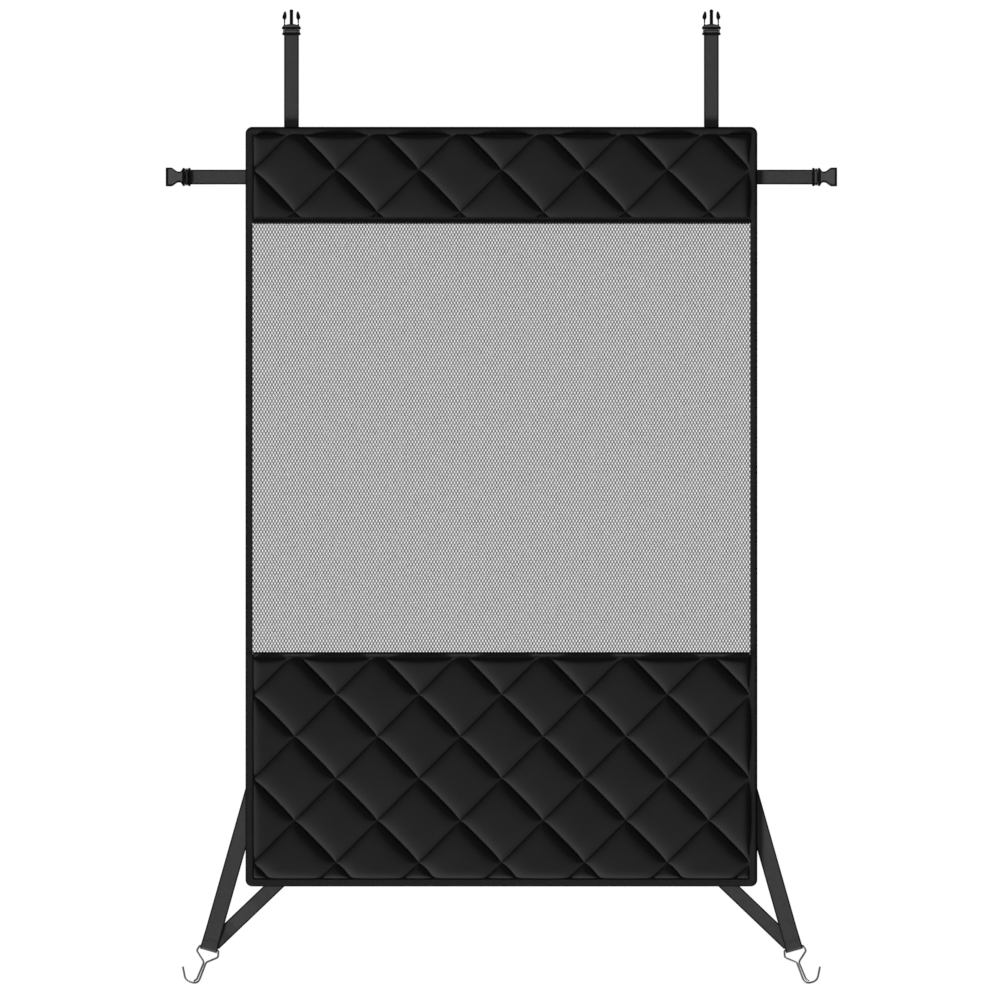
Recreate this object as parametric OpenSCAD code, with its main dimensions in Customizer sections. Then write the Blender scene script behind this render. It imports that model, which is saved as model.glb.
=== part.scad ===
// Strap-hung car barrier: a net window sewn between two quilted pads, bound all round, with two
// buckle straps at the top, two at the sides and a V of webbing with a wire hook at each lower corner.
// It hangs upright: +Z is up, the quilted front faces -Y, and the origin is the middle of the top edge.

/* [Panel] */
// Width of the panel over its binding
panel_w = 730; // [620:10:860]
// Height of the panel from its top edge to its bottom edge
panel_h = 1084; // [960:4:1240]
// Outside radius of the panel's corners
corner_r = 9; // [6:1:12]
// Height of the upper pad, from the top edge to the lower side of its seam tape
upper_pad_h = 138; // [120:1:190]
// Height of the lower pad, from the upper side of its seam tape to the bottom edge
lower_pad_h = 334; // [260:1:400]

/* [Quilting] */
// Quilted diamonds from one side binding to the other
diamonds_across = 6; // [4:1:7]
// Height of one quilted diamond
diamond_h = 120; // [100:1:140]
// Drop from the top edge to the upper pad's first row of stitch crossings
upper_cross_drop = 58; // [40:1:75]
// Rise from the bottom edge to the lower pad's last row of stitch crossings
lower_cross_rise = 36.5; // [30:0.5:60]
// Height of a puff over the stitch lines around it
puff_h = 6.8; // [4:0.2:8]
// Height left over the pressed edge along a stitch line
channel_h = 0.4; // [0.2:0.1:1]
// Distance over which a pad rises from its bound edge to its full height
edge_draw = 28; // [24:1:40]
// Facets along each half diamond
quilt_steps = 3; // [2:1:3]

/* [Fabric layers] */
// Thickness of the quilted front cover
cover_t = 0.6; // [0.4:0.1:0.8]
// Thickness of the flat back lining
lining_t = 0.6; // [0.4:0.1:0.8]
// Thickness of a pad where its edge is pressed and sewn
pad_edge_t = 3; // [2.6:0.1:3.2]
// Gap between two sewn layers
layer_gap = 0.1; // [0.05:0.05:0.2]
// How far a pad's edge reaches under the binding
pad_tuck = 3; // [2:0.5:4]

/* [Binding and seam tapes] */
// Visible width of the folded edge binding
binding_w = 10; // [8:0.5:12]
// Thickness of the tape that the binding and the seams are made of
tape_t = 0.8; // [0.6:0.1:0.9]
// Thickness of the binding where it grips a pad
binding_pad_t = 6; // [5.8:0.2:7]
// Thickness of the binding where it is pressed flat on the net
binding_net_t = 3; // [2.8:0.1:3.4]
// Width of the seam tape under the upper pad
upper_seam_w = 8; // [7:0.5:12]
// Width of the seam tape over the lower pad
lower_seam_w = 11; // [8:0.5:14]

/* [Net] */
// Thickness of the net
net_t = 1; // [0.8:0.1:1.2]
// Openings in a full row of the net
net_across = 10; // [6:1:12]
// Staggered rows of openings in the net
net_rows = 15; // [9:2:17]
// Width of a bundle of the net's strands
strand_w = 5; // [3:0.5:7]

/* [Webbing] */
// Thickness of every webbing strap
web_t = 1.3; // [1.1:0.1:1.4]
// Width of the top, side and inner hook straps
web_w = 20; // [19:0.5:20.5]
// Width of the outer hook straps
hook_web_w = 23.4; // [22:0.2:24]
// Length of a strap's sewn end behind the panel
root_len = 38; // [30:1:60]
// Distance from the panel's edge to a strap's fold line
fold_rise = 6.5; // [6:0.5:12]
// Distance from a strap's fold line to the end of its sewn part
fold_gap = 1.8; // [1.7:0.1:2.4]
// Length of a strap past its fold line before its adjustable run
hinged_len = 33; // [20:1:34]
// Gap between a strap's hinged part, its run and its fold round the buckle bar
run_gap = 0.2; // [0.1:0.1:0.4]

/* [Top straps] */
// Distance from the panel's side edge to the middle of each top strap
top_strap_in = 65; // [45:1:165]
// Height of the top plug's rear edge over the top edge
top_plug_z = 131.4; // [120:0.2:200]
// Length of the top strap's loose tail behind the plug
top_tail = 45; // [35:1:50]

/* [Side straps] */
// Drop from the top edge to the middle of each side strap
side_strap_drop = 71; // [50:1:90]
// Distance from the side edge to the socket's rear edge
side_socket_x = 78.8; // [76:0.2:140]
// Length of the side strap's loose tail behind the socket
side_tail = 34; // [20:1:36]

/* [Buckles] */
// Width over the ends of the plug's rear bar
plug_bar_w = 25.6; // [25:0.2:27]
// Width over the plug's rails
plug_rail_w = 22.8; // [22.6:0.1:23.4]
// Width over the plug's shoulders
plug_shoulder_w = 26; // [25.6:0.2:27]
// Length of the plug's centre tongue past its shoulder
tongue_len = 20.8; // [18:0.2:22]
// Width of the centre tongue
tongue_w = 3.8; // [3:0.2:5]
// Distance of each latch arm from the tongue's middle line
arm_u = 9.8; // [9.6:0.1:10]
// Length of a latch arm from its flexing root to its tip
arm_len = 16.3; // [15:0.1:17]
// Width over the ends of the socket's rear bar
socket_bar_w = 24.9; // [24.4:0.1:26]
// Width over the socket's mouth
socket_w = 25.8; // [25.4:0.2:27]
// Width of the socket at its waist
socket_waist_w = 15; // [14:0.5:17]
// Thickness of the socket
socket_t = 9; // [8.6:0.2:10]
// Wall of the socket
socket_wall = 1.4; // [1.2:0.1:1.6]
// Thickness of the latch arms
arm_t = 4.6; // [4:0.2:5]

/* [Hook straps] */
// Lean of the outer strap from upright, in degrees
outer_lean = 15.8; // [14:0.2:18]
// Lean of the inner strap from upright, in degrees
inner_lean = 46.3; // [43:0.1:49]
// Distance of the hook's pivot outside the panel's side edge
hook_out = 52.6; // [50:0.2:56]
// Distance of the hook's pivot below the panel's bottom edge
hook_down = 88.9; // [86:0.1:95]
// Distance from the panel's corner to the fold line of the V
corner_clear = 8; // [7:0.5:12]
// Length of the outer strap's sewn-back end
turn_len = 16; // [12:0.5:20]

/* [Wire hooks] */
// Diameter of the hook's wire
wire_d = 2.8; // [2.4:0.1:2.8]
// Clearance between the wire and the webbing loop around it
wire_clear = 0.2; // [0.15:0.05:0.3]

/* [Hidden] */
LEFT_RIGHT = ["left", "right"];

binding_color = "#212121";
cover_color = "#252525";
lining_color = "#1c1c1c";
wadding_color = "#e8e6e0";
net_color = "#4a4a4c";
webbing_color = "#3c3c3c";
buckle_color = "#3a3a3b";
steel_color = "#7d7d7d";

round_fn = 48;
cut = 1;                    // how far a cutting solid runs past the face that it cuts
far = 400;                  // longer than any strap

half_w = panel_w / 2;
inner_half_w = half_w - binding_w;
top_strap_x = half_w - top_strap_in;
pad_half_w = inner_half_w + pad_tuck;
half_diamond_w = inner_half_w / diamonds_across;
half_diamond_h = diamond_h / 2;
net_top = -upper_pad_h;
net_bottom = -panel_h + lower_pad_h;
upper_seam_top = net_top + upper_seam_w;
lower_seam_bottom = net_bottom - lower_seam_w;
edge_y = pad_edge_t / 2;
wadding_back_y = edge_y - lining_t - layer_gap;
seam_tuck = 1.5;            // how far a pad's edge reaches under its seam tape

strap_y = binding_pad_t / 2 + layer_gap + web_t / 2;    // middle of every strap as it leaves the panel
tail_y = strap_y + web_t + 0.3;                         // a tail hangs clear behind its own strap
roll_d = web_t - 0.1;       // round root of a fold, just thinner than the webbing
root_step = 5;              // a sewn end steps down onto the lining over this length
fit_gap = 0.1;              // play of the webbing in a buckle's slots
bar_depth = 3.8;            // rear bar, along the strap
slot_depth = web_t + 2 * fit_gap;
middle_depth = 2;           // middle bar, along the strap
bar_t = 4.4;                // rear bar, through the buckle
middle_t = 2;               // middle bar, through the buckle
rail_play = 0.3;            // between the webbing's edge and a buckle's rail
buckle_y = strap_y - web_t / 2 - 0.15 - bar_t / 2;
rear_slot_w = bar_depth + slot_depth / 2;
body_start = bar_depth + 2 * slot_depth + middle_depth;
front_slot_w = body_start - slot_depth / 2;
wrap_y = buckle_y - middle_t / 2 - fit_gap - web_t / 2;

plug_len = 16.2;            // from the rear bar's edge to the shoulder's crown
plug_t = 6;                 // shoulder block, through the buckle
shoulder_slope = 1.4;       // the shoulder widens from the rails over this length
shoulder_round = 3.6;       // and its corners round off over this length
arm_w = 1.8;                // latch arm at its thin root
arm_root_w = plug_len + 1.7;    // the arm flexes here
arm_gap = 0.3;              // slit under an arm's round root
tongue_t = 2.4;
tongue_rib_w = 1.3;

socket_len = 35.6;
socket_floor_w = 12.4;      // the socket's cavity ends here
waist_w = 18.2;             // the narrowest place, from the rear bar's edge
waist_r = 9.2;

pivot_x = -half_w - hook_out;
pivot_z = -panel_h - hook_down;
loop_r = wire_d / 2 + wire_clear + web_t / 2;
loop_y = strap_y + loop_r;
v_lean = (outer_lean + inner_lean) / 2;
v_axis = [sin(v_lean), cos(v_lean)];
corner_from_pivot = [corner_r - half_w - pivot_x, corner_r - panel_h - pivot_z];
fold_reach = corner_from_pivot * v_axis - corner_r - corner_clear;
inner_y = strap_y + web_t + layer_gap;      // the inner strap lies behind the outer one at the hook
turn_y = inner_y + web_t + 0.15;            // and the sewn-back end lies behind both
root_up = 152;              // length of the outer strap's fixed part past the fold line
inner_root_up = 62;         // length of the inner strap's fixed part past the fold line
bend_from = 62;             // the inner strap steps back between these distances from the pivot
bend_to = 46;
inner_stop = 5;             // the inner strap ends this far above the pivot
loop_end = 1.2;             // the loop round the wire ends this far above the pivot
turn_from = 6.5;            // and the sewn-back end lies flat from here up

// ---- flat shapes and solids used by several pieces ----

// A round-cornered rectangle that hangs from the origin
module hung_outline(w, h, r, inset = 0) {
    rr = r - inset;
    translate([-w / 2 + inset, -h + inset]) {
        translate([rr, 0]) square([w - 2 * inset - 2 * rr, h - 2 * inset]);
        translate([0, rr]) square([w - 2 * inset, h - 2 * inset - 2 * rr]);
        for (x = [rr, w - 2 * inset - rr], y = [rr, h - 2 * inset - rr])
            translate([x, y]) circle(r = rr, $fn = round_fn);
    }
}

// Extrudes a drawing in X and Z through the thickness t, centred on y
module slab(t, y = 0) {
    translate([0, y, 0]) rotate([90, 0, 0]) linear_extrude(height = t, center = true) children();
}

// Extrudes a drawing in Y and Z across the width w, centred on X
module across(w) {
    rotate([90, 0, 90]) linear_extrude(height = w, center = true) children();
}

// Keeps what lies between two heights
module between(low, high) {
    intersection() {
        children();
        translate([-half_w - cut, -far / 2, low]) cube([panel_w + 2 * cut, far, high - low]);
    }
}

// Mirrors a left-hand piece to the right
module sided(side) {
    if (side == "left") children();
    else mirror([1, 0, 0]) children();
}

function unit(a, b) = (b - a) / norm(b - a);
function left_of(d) = [-d[1], d[0]];
function corner_normal(path, i) =
    let (before = left_of(unit(path[max(i - 1, 0)], path[max(i, 1)])),
         after = left_of(unit(path[min(i, len(path) - 2)], path[min(i + 1, len(path) - 1)])),
         middle = (before + after) / norm(before + after))
    middle / (middle * before);
// Outline of a band of thickness t that follows a path
function band(path, t) = concat(
    [for (i = [0 : len(path) - 1]) path[i] + corner_normal(path, i) * t / 2],
    [for (i = [len(path) - 1 : -1 : 0]) path[i] - corner_normal(path, i) * t / 2]);
function arc_points(center, r, from, to, steps) =
    [for (k = [0 : steps]) let (a = from + (to - from) * k / steps) center + r * [cos(a), sin(a)]];

// ---- quilted pads ----

// Height of the quilting at a place: nil on the two families of stitch lines, 1 in mid diamond
function puff(x, z, cross_z) =
    let (u = x / half_diamond_w, v = (z - cross_z) / half_diamond_h)
    pow(abs(sin(90 * (u + v)) * sin(90 * (u - v))), 0.6);
function drawn(x, z, top, bottom) =
    max(0, min(1, min(inner_half_w - abs(x), top - z, z - bottom) / edge_draw));
function cover_y(x, z, pad) =
    edge_y + drawn(x, z, pad[0], pad[1]) * (channel_h + puff_h * puff(x, z, pad[2]));

// A pad: visible top, visible bottom, height of a row of crossings, tucked top, tucked bottom
upper_pad = [-binding_w, upper_seam_top, -upper_cross_drop, -binding_w + pad_tuck, upper_seam_top - seam_tuck];
lower_pad = [lower_seam_bottom, -panel_h + binding_w, -panel_h + lower_cross_rise,
    lower_seam_bottom + seam_tuck, -panel_h + binding_w - pad_tuck];
row_margin = 8;             // grid lines keep this far from a pad's visible ends

function grid_x() =
    let (n = diamonds_across * quilt_steps)
    [for (c = [-n : n]) abs(c) == n ? sign(c) * pad_half_w : c * half_diamond_w / quilt_steps];
function grid_z(pad) =
    let (step = half_diamond_h / quilt_steps,
         low = ceil((pad[1] + row_margin - pad[2]) / step),
         high = floor((pad[0] - row_margin - pad[2]) / step))
    concat([pad[4]], [for (r = [low : high]) pad[2] + r * step], [pad[3]]);

// The two triangles of one grid square, split along the stitch line that crosses its half diamond
function square_faces(a, b, c, d, x, z, cross_z) =
    (floor(x / half_diamond_w) + floor((z - cross_z) / half_diamond_h)) % 2 == 0
        ? [[a, c, b], [a, d, c]]
        : [[a, d, b], [b, d, c]];
function sheet_faces(xs, zs, cross_z) =
    let (n = len(xs))
    [for (r = [0 : len(zs) - 2], c = [0 : n - 2])
        let (a = r * n + c)
        each square_faces(a, a + 1, a + n + 1, a + n,
            (xs[c] + xs[c + 1]) / 2, (zs[r] + zs[r + 1]) / 2, cross_z)];
// Grid points around the rim, anticlockwise seen from the front
function rim(n, m) = concat(
    [for (c = [0 : n - 2]) c],
    [for (r = [0 : m - 2]) r * n + n - 1],
    [for (c = [n - 1 : -1 : 1]) (m - 1) * n + c],
    [for (r = [m - 1 : -1 : 1]) r * n]);
function flip(faces, shift) = [for (f = faces) [f[0] + shift, f[2] + shift, f[1] + shift]];

// Quilted fabric of the cover: two sheets, one behind the other, closed round the rim
module quilted_shell(pad) {
    xs = grid_x();
    zs = grid_z(pad);
    n = len(xs);
    count = n * len(zs);
    front = [for (z = zs, x = xs) [x, -cover_y(x, z, pad), z]];
    back = [for (p = front) p + [0, cover_t, 0]];
    faces = sheet_faces(xs, zs, pad[2]);
    edge = rim(n, len(zs));
    side = [for (k = [0 : len(edge) - 1])
        let (a = edge[k], b = edge[(k + 1) % len(edge)])
        each [[a, b, b + count], [a, b + count, a + count]]];
    polyhedron(concat(front, back), concat(faces, flip(faces, count), side));
}

// Wadding under the cover: puffed in front, flat behind
module quilted_fill(pad) {
    xs = grid_x();
    zs = grid_z(pad);
    n = len(xs);
    count = n * len(zs);
    front = [for (z = zs, x = xs) [x, cover_t + layer_gap - cover_y(x, z, pad), z]];
    edge = rim(n, len(zs));
    m = len(edge);
    back = [for (k = edge) [front[k][0], wadding_back_y, front[k][2]]];
    middle = [0, wadding_back_y, (pad[3] + pad[4]) / 2];
    side = [for (k = [0 : m - 1])
        let (a = edge[k], b = edge[(k + 1) % m], c = count + k, d = count + (k + 1) % m)
        each [[a, b, d], [a, d, c], [c, d, count + m]]];
    polyhedron(concat(front, back, [middle]), concat(sheet_faces(xs, zs, pad[2]), side));
}

module flat_lining(pad) {
    translate([-pad_half_w, edge_y - lining_t, pad[4]])
        cube([2 * pad_half_w, lining_t, pad[3] - pad[4]]);
}

module upper_pad_cover() { color(cover_color) quilted_shell(upper_pad); }
module upper_pad_wadding() { color(wadding_color) quilted_fill(upper_pad); }
module upper_pad_lining() { color(lining_color) flat_lining(upper_pad); }
module lower_pad_cover() { color(cover_color) quilted_shell(lower_pad); }
module lower_pad_wadding() { color(wadding_color) quilted_fill(lower_pad); }
module lower_pad_lining() { color(lining_color) flat_lining(lower_pad); }

// ---- net, seam tapes and binding ----

// One knitted panel with staggered diamond openings, its edges held by the tapes
module net_window() {
    net_half_w = half_w - tape_t - 0.7;
    top = upper_seam_top - seam_tuck - net_clear;
    bottom = lower_seam_bottom + seam_tuck + net_clear;
    pitch_x = 2 * inner_half_w / net_across;
    pitch_z = (net_top - net_bottom) / net_rows;
    gap_x = pitch_x / 2 - strand_w;
    gap_z = pitch_z - strand_w;
    color(net_color) slab(net_t) difference() {
        translate([-net_half_w, bottom]) square([2 * net_half_w, top - bottom]);
        for (r = [0 : net_rows - 1], c = [0 : net_across - 1 - r % 2])
            translate([
                -inner_half_w + (c + 0.5 + (r % 2) / 2) * pitch_x,
                net_bottom + (r + 0.5) * pitch_z
            ])
                polygon([[gap_x, 0], [0, gap_z / 2], [-gap_x, 0], [0, -gap_z / 2]]);
    }
}

// Strip of tape that covers a pad's pressed edge and steps down onto the net
module seam_tape(pad_end, net_end, y_sign) {
    on_pad = edge_y + seam_step + tape_t / 2;
    on_net = net_t / 2 + layer_gap + tape_t / 2;
    way = sign(net_end - pad_end);
    path = [[y_sign * on_pad, pad_end], [y_sign * on_pad, pad_end + way * (seam_tuck + seam_flat)],
        [y_sign * on_net, pad_end + way * (seam_tuck + seam_slope)], [y_sign * on_net, net_end]];
    color(binding_color) across(2 * (inner_half_w - seam_end_gap)) polygon(band(path, tape_t));
}
seam_step = 0.5;            // the tape rides over the pad's rising edge
seam_flat = 1;              // it covers the pad's edge to this far past it
seam_slope = 4;             // and has stepped down onto the net this far past it
net_clear = 2.5;            // the net's edge stops this far short of the pad's edge
seam_end_gap = 0.2;         // the tape stops this far from the side binding

module upper_seam_tape_front() { seam_tape(upper_seam_top, net_top, -1); }
module upper_seam_tape_back() { seam_tape(upper_seam_top, net_top, 1); }
module lower_seam_tape_front() { seam_tape(lower_seam_bottom, net_bottom, -1); }
module lower_seam_tape_back() { seam_tape(lower_seam_bottom, net_bottom, 1); }

// Tape folded round the panel's edge, open towards the panel
module folded_ring(t, slot_t) {
    difference() {
        slab(t) hung_outline(panel_w, panel_h, corner_r);
        slab(slot_t) hung_outline(panel_w, panel_h, corner_r, tape_t);
        slab(t + cut) translate([-inner_half_w, -panel_h + binding_w])
            square([2 * inner_half_w, panel_h - 2 * binding_w]);
    }
}

// One length of tape round the whole panel, thicker on the pads than on the net
module edge_binding() {
    pad_slot = binding_pad_t - 2 * tape_t;
    net_slot = binding_net_t - 2 * tape_t;
    color(binding_color) {
        between(net_top - tape_t, cut) folded_step(net_top - tape_t, net_top, pad_slot, net_slot);
        between(net_bottom + tape_t / 2, net_top - tape_t / 2) folded_ring(binding_net_t, net_slot);
        between(-panel_h - cut, net_bottom + tape_t)
            folded_step(net_bottom, net_bottom + tape_t, pad_slot, net_slot);
    }
}

// The thick binding with its slot pinched to the net's between two heights
module folded_step(low, high, pad_slot, net_slot) {
    folded_ring(binding_pad_t, pad_slot);
    between(low, high) folded_ring(binding_pad_t, net_slot);
}

// ---- webbing straps, drawn for a strap that rises along +Z from the panel's edge at z = 0 ----

// Sewn end: behind the binding it lies flat, further in it steps down onto the lining
module strap_root(w) {
    low_y = edge_y + layer_gap + web_t / 2;
    path = [[low_y, -root_len], [low_y, -binding_w - root_step], [strap_y, -binding_w], [strap_y, fold_rise - fold_gap]];
    color(webbing_color) across(w) polygon(band(path, web_t));
}

// First length past the fold line, with the fold's round root
module strap_hinged(w) {
    color(webbing_color) across(w) {
        translate([strap_y, fold_rise]) circle(d = roll_d, $fn = round_fn);
        translate([strap_y - web_t / 2, fold_rise]) square([web_t, hinged_len]);
    }
}

// Length that gets longer or shorter as the buckle slides
module strap_run(w, buckle_z) {
    start = fold_rise + hinged_len + run_gap;
    color(webbing_color) translate([-w / 2, strap_y - web_t / 2, start])
        cube([w, web_t, buckle_z - wrap_foot - run_gap - start]);
}
wrap_foot = 0.4;            // the fold round the bar reaches this far below the buckle

// Over the middle bar and back: up the rear slot, across the bar's front, down the front slot, tail
module strap_fold(w, tail) {
    path = [[tail_y, -tail], [tail_y, front_slot_w], [wrap_y, front_slot_w], [wrap_y, rear_slot_w],
        [strap_y, rear_slot_w], [strap_y, -wrap_foot]];
    color(webbing_color) across(w) polygon(band(path, web_t));
}

module at_top_strap() { translate([-top_strap_x, 0, 0]) children(); }
module at_top_plug() { translate([-top_strap_x, 0, top_plug_z]) children(); }
module at_side_strap() { translate([-half_w, 0, -side_strap_drop]) rotate([0, -90, 0]) children(); }
module at_side_socket() {
    translate([-half_w - side_socket_x, 0, -side_strap_drop]) rotate([0, -90, 0]) children();
}

module top_strap_root(side) { sided(side) at_top_strap() strap_root(web_w); }
module top_strap(side) { sided(side) at_top_strap() strap_hinged(web_w); }
module top_strap_run(side) { sided(side) at_top_strap() strap_run(web_w, top_plug_z); }
module top_strap_fold(side) { sided(side) at_top_plug() strap_fold(web_w, top_tail); }
module side_strap_root(side) { sided(side) at_side_strap() strap_root(web_w); }
module side_strap(side) { sided(side) at_side_strap() strap_hinged(web_w); }
module side_strap_run(side) { sided(side) at_side_strap() strap_run(web_w, side_socket_x); }
module side_strap_fold(side) { sided(side) at_side_socket() strap_fold(web_w, side_tail); }

// ---- buckles, drawn along +Z from the rear bar's edge, thickness about buckle_y ----

// Rear bar with round ends, two rails and the middle bar that the webbing folds over
module ladder(bar_w, rail_w) {
    rail_in = web_w / 2 + rail_play;
    end_r = bar_depth / 2;
    slab(bar_t, buckle_y) {
        translate([-bar_w / 2 + end_r, 0]) square([bar_w - 2 * end_r, bar_depth]);
        for (x = [-1, 1])
            translate([x * (bar_w / 2 - end_r), end_r]) circle(r = end_r, $fn = round_fn);
    }
    for (x = [-1, 1])
        translate([x > 0 ? rail_in : -rail_w / 2, buckle_y - bar_t / 2 + 0.2, end_r])
            cube([rail_w / 2 - rail_in, bar_t - 0.4, body_start - end_r + 0.5]);
    translate([-rail_in - 0.5, buckle_y - middle_t / 2, bar_depth + slot_depth])
        cube([2 * rail_in + 1, middle_t, middle_depth]);
}

// Crowned block: a drawing in X and Z, swollen by crown in the middle of each face
module crowned(t, half_width, crown) {
    swell_r = (half_width * half_width + crown * crown) / (2 * crown);
    intersection() {
        slab(t, buckle_y) children();
        for_both_faces(t, swell_r);
    }
}
module for_both_faces(t, swell_r) {
    intersection() {
        for (y = [-1, 1])
            translate([0, buckle_y + y * (swell_r - t / 2), -cut])
                cylinder(r = swell_r, h = far / 4, $fn = 4 * round_fn);
    }
}

// Plug: ladder, crowned shoulder, ribbed tongue and the two posts that carry the latch arms
module top_plug(side) {
    half_s = plug_shoulder_w / 2;
    shoulder = [[-plug_rail_w / 2, body_start], [-half_s, body_start + shoulder_slope],
        [-half_s, plug_len - shoulder_round],
        [-half_s + shoulder_round * 0.45, plug_len - shoulder_round * 0.42],
        [-half_s + shoulder_round * 1.22, plug_len - shoulder_round * 0.08], [0, plug_len]];
    mirrored = [for (k = [len(shoulder) - 2 : -1 : 0]) [-shoulder[k][0], shoulder[k][1]]];
    tip_r = tongue_w / 2;
    color(buckle_color) sided(side) at_top_plug() {
        ladder(plug_bar_w, plug_rail_w);
        crowned(plug_t, half_s, 0.7) polygon(concat(shoulder, mirrored));
        slab(tongue_t, buckle_y) {
            translate([-tip_r, plug_len - cut]) square([tongue_w, tongue_len + cut - tip_r]);
            translate([0, plug_len + tongue_len - tip_r]) circle(r = tip_r, $fn = round_fn);
        }
        translate([-tongue_rib_w / 2, buckle_y - arm_t / 2, plug_len - cut])
            cube([tongue_rib_w, arm_t, tongue_len - tongue_w]);
        for (x = [-arm_u, arm_u])
            translate([x - arm_w / 2, buckle_y - arm_t / 2, plug_len - 2])
                cube([arm_w, arm_t, arm_root_w - arm_gap - arm_w / 2 - plug_len + 2]);
    }
}

// Latch arm on the outer side (way = -1) or the inner side (way = 1) of a left-hand plug
module latch_arm(side, way) {
    catch_w = 4.7;          // from the flexing root to the catch's square shoulder
    widest_w = 8.6;
    head = [[0.9, 0], [0.9, catch_w], [1.7, catch_w + 1.2], [2.1, widest_w], [-0.6, arm_len - 1.4], [-1.6, arm_len],
        [-2.2, arm_len - 0.6], [-2.5, widest_w + 0.8], [-1.7, catch_w + 0.6], [-0.9, catch_w], [-0.9, 0]];
    color(buckle_color) sided(side) at_top_plug() translate([way * arm_u, 0, arm_root_w])
        mirror([way > 0 ? 0 : 1, 0, 0]) slab(arm_t, buckle_y) {
            polygon(head);
            circle(d = arm_w, $fn = round_fn);
        }
}
module outer_latch_arm(side) { latch_arm(side, -1); }
module inner_latch_arm(side) { latch_arm(side, 1); }

// Socket: ladder and a shell drawn in at the waist, where its sides are open for the latch arms
module side_socket(side) {
    half_s = socket_w / 2;
    cavity_w = socket_w - 2 * socket_wall;
    neck_w = socket_bar_w / 2 - 0.4;
    color(buckle_color) sided(side) at_side_socket() {
        ladder(socket_bar_w, 2 * (web_w / 2 + rail_play + 1.3));
        difference() {
            crowned(socket_t, half_s, 0.5) difference() {
                union() {
                    translate([-neck_w, body_start]) square([2 * neck_w, socket_len - body_start]);
                    translate([-half_s, waist_w + waist_r / 2]) square([socket_w, socket_len - waist_w - waist_r / 2]);
                }
                for (x = [-1, 1])
                    translate([x * (socket_waist_w / 2 + waist_r), waist_w]) circle(r = waist_r, $fn = round_fn);
            }
            translate([-cavity_w / 2, buckle_y - socket_t / 2 + socket_wall, socket_floor_w])
                cube([cavity_w, socket_t - 2 * socket_wall, socket_len]);
        }
    }
}

// ---- hook straps and hooks, drawn from the hook's pivot, up along a strap that leans to the right ----

module at_pivot(lean) { translate([pivot_x, 0, pivot_z]) rotate([0, lean, 0]) children(); }

// Half space on the hook's side of the fold line, and the panel's side past the fixed part's end
module below_fold() { at_pivot(v_lean) translate([-far, -far, -far]) cube([2 * far, 2 * far, far + fold_reach]); }
module above_fold() { at_pivot(v_lean) translate([-far, -far, fold_reach + fold_gap]) cube([2 * far, 2 * far, far]); }

// Round root of a strap along the fold line
module fold_roll() {
    at_pivot(v_lean) translate([-far / 4, strap_y, fold_reach]) rotate([0, 90, 0])
        cylinder(d = roll_d, h = far / 2, $fn = round_fn);
}

// The outer strap runs down to the pivot, round the wire and back up behind the inner strap
outer_path = concat(
    [[strap_y, fold_reach + root_up]],
    arc_points([loop_y, 0], loop_r, 180, 360, 12),
    [[loop_y + loop_r, loop_end], [turn_y, turn_from], [turn_y, turn_len]]);
inner_path = [[strap_y, fold_reach + inner_root_up], [strap_y, bend_from], [inner_y, bend_to], [inner_y, 0]];

module strap_box(lean, w, length) {
    at_pivot(lean) translate([-w / 2, strap_y - web_t, 0]) cube([w, 2 * web_t, length]);
}

module moving_leg(path, lean, w) {
    intersection() {
        at_pivot(lean) across(w) polygon(band(path, web_t));
        below_fold();
    }
    intersection() {
        fold_roll();
        strap_box(lean, w, far);
    }
}

module fixed_leg(lean, w, length) {
    color(webbing_color) intersection() {
        at_pivot(lean) translate([-w / 2, strap_y - web_t / 2, 0]) cube([w, web_t, fold_reach + length]);
        above_fold();
    }
}

module outer_hook_strap(side) { color(webbing_color) sided(side) moving_leg(outer_path, outer_lean, hook_web_w); }
module inner_hook_strap(side) {
    edge_u = hook_web_w / 2 - 0.6;
    color(webbing_color) sided(side) difference() {
        moving_leg(inner_path, inner_lean, web_w);
        at_pivot(outer_lean) translate([-far, -far / 2, -far]) cube([2 * far, far, far + inner_stop]);
        at_pivot(outer_lean) translate([-far - edge_u, -far / 2, -cut]) cube([far, far, far / 4]);
    }
}
module outer_hook_strap_root(side) { sided(side) fixed_leg(outer_lean, hook_web_w, root_up); }
module inner_hook_strap_root(side) { sided(side) fixed_leg(inner_lean, web_w, inner_root_up); }

// A wire bent in its plane: straight lengths between the given corners, each rounded by its radius.
// A bend swells the wire a little, and each length runs into the bends at its ends.
module bent_wire(points, radii, r) {
    last = len(points) - 1;
    function trim(i) = i == 0 || i == last ? 0
        : let (a = unit(points[i - 1], points[i]), b = unit(points[i], points[i + 1]))
          radii[i] * tan(acos(a * b) / 2);
    bend_lap = 0.3;
    bend_swell = 0.05;
    for (i = [0 : last - 1]) {
        d = unit(points[i], points[i + 1]);
        start = trim(i) - (i == 0 ? 0 : bend_lap);
        end = norm(points[i + 1] - points[i]) - trim(i + 1) + (i == last - 1 ? 0 : bend_lap);
        translate(points[i] + d * start) rotate([0, 90, atan2(d[1], d[0])])
            cylinder(r = r, h = end - start, $fn = round_fn);
    }
    for (i = [1 : last - 1]) {
        a = unit(points[i - 1], points[i]);
        b = unit(points[i], points[i + 1]);
        way = cross(a, b) > 0 ? 1 : -1;
        turn = acos(a * b);
        from = -way * left_of(a);
        translate(points[i] - a * trim(i) - from * radii[i])
            rotate([0, 0, atan2(from[1], from[0]) - (way > 0 ? 0 : turn)])
                rotate_extrude(angle = turn, $fn = round_fn)
                    translate([radii[i], 0]) circle(r = r + bend_swell, $fn = round_fn);
    }
}

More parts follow.
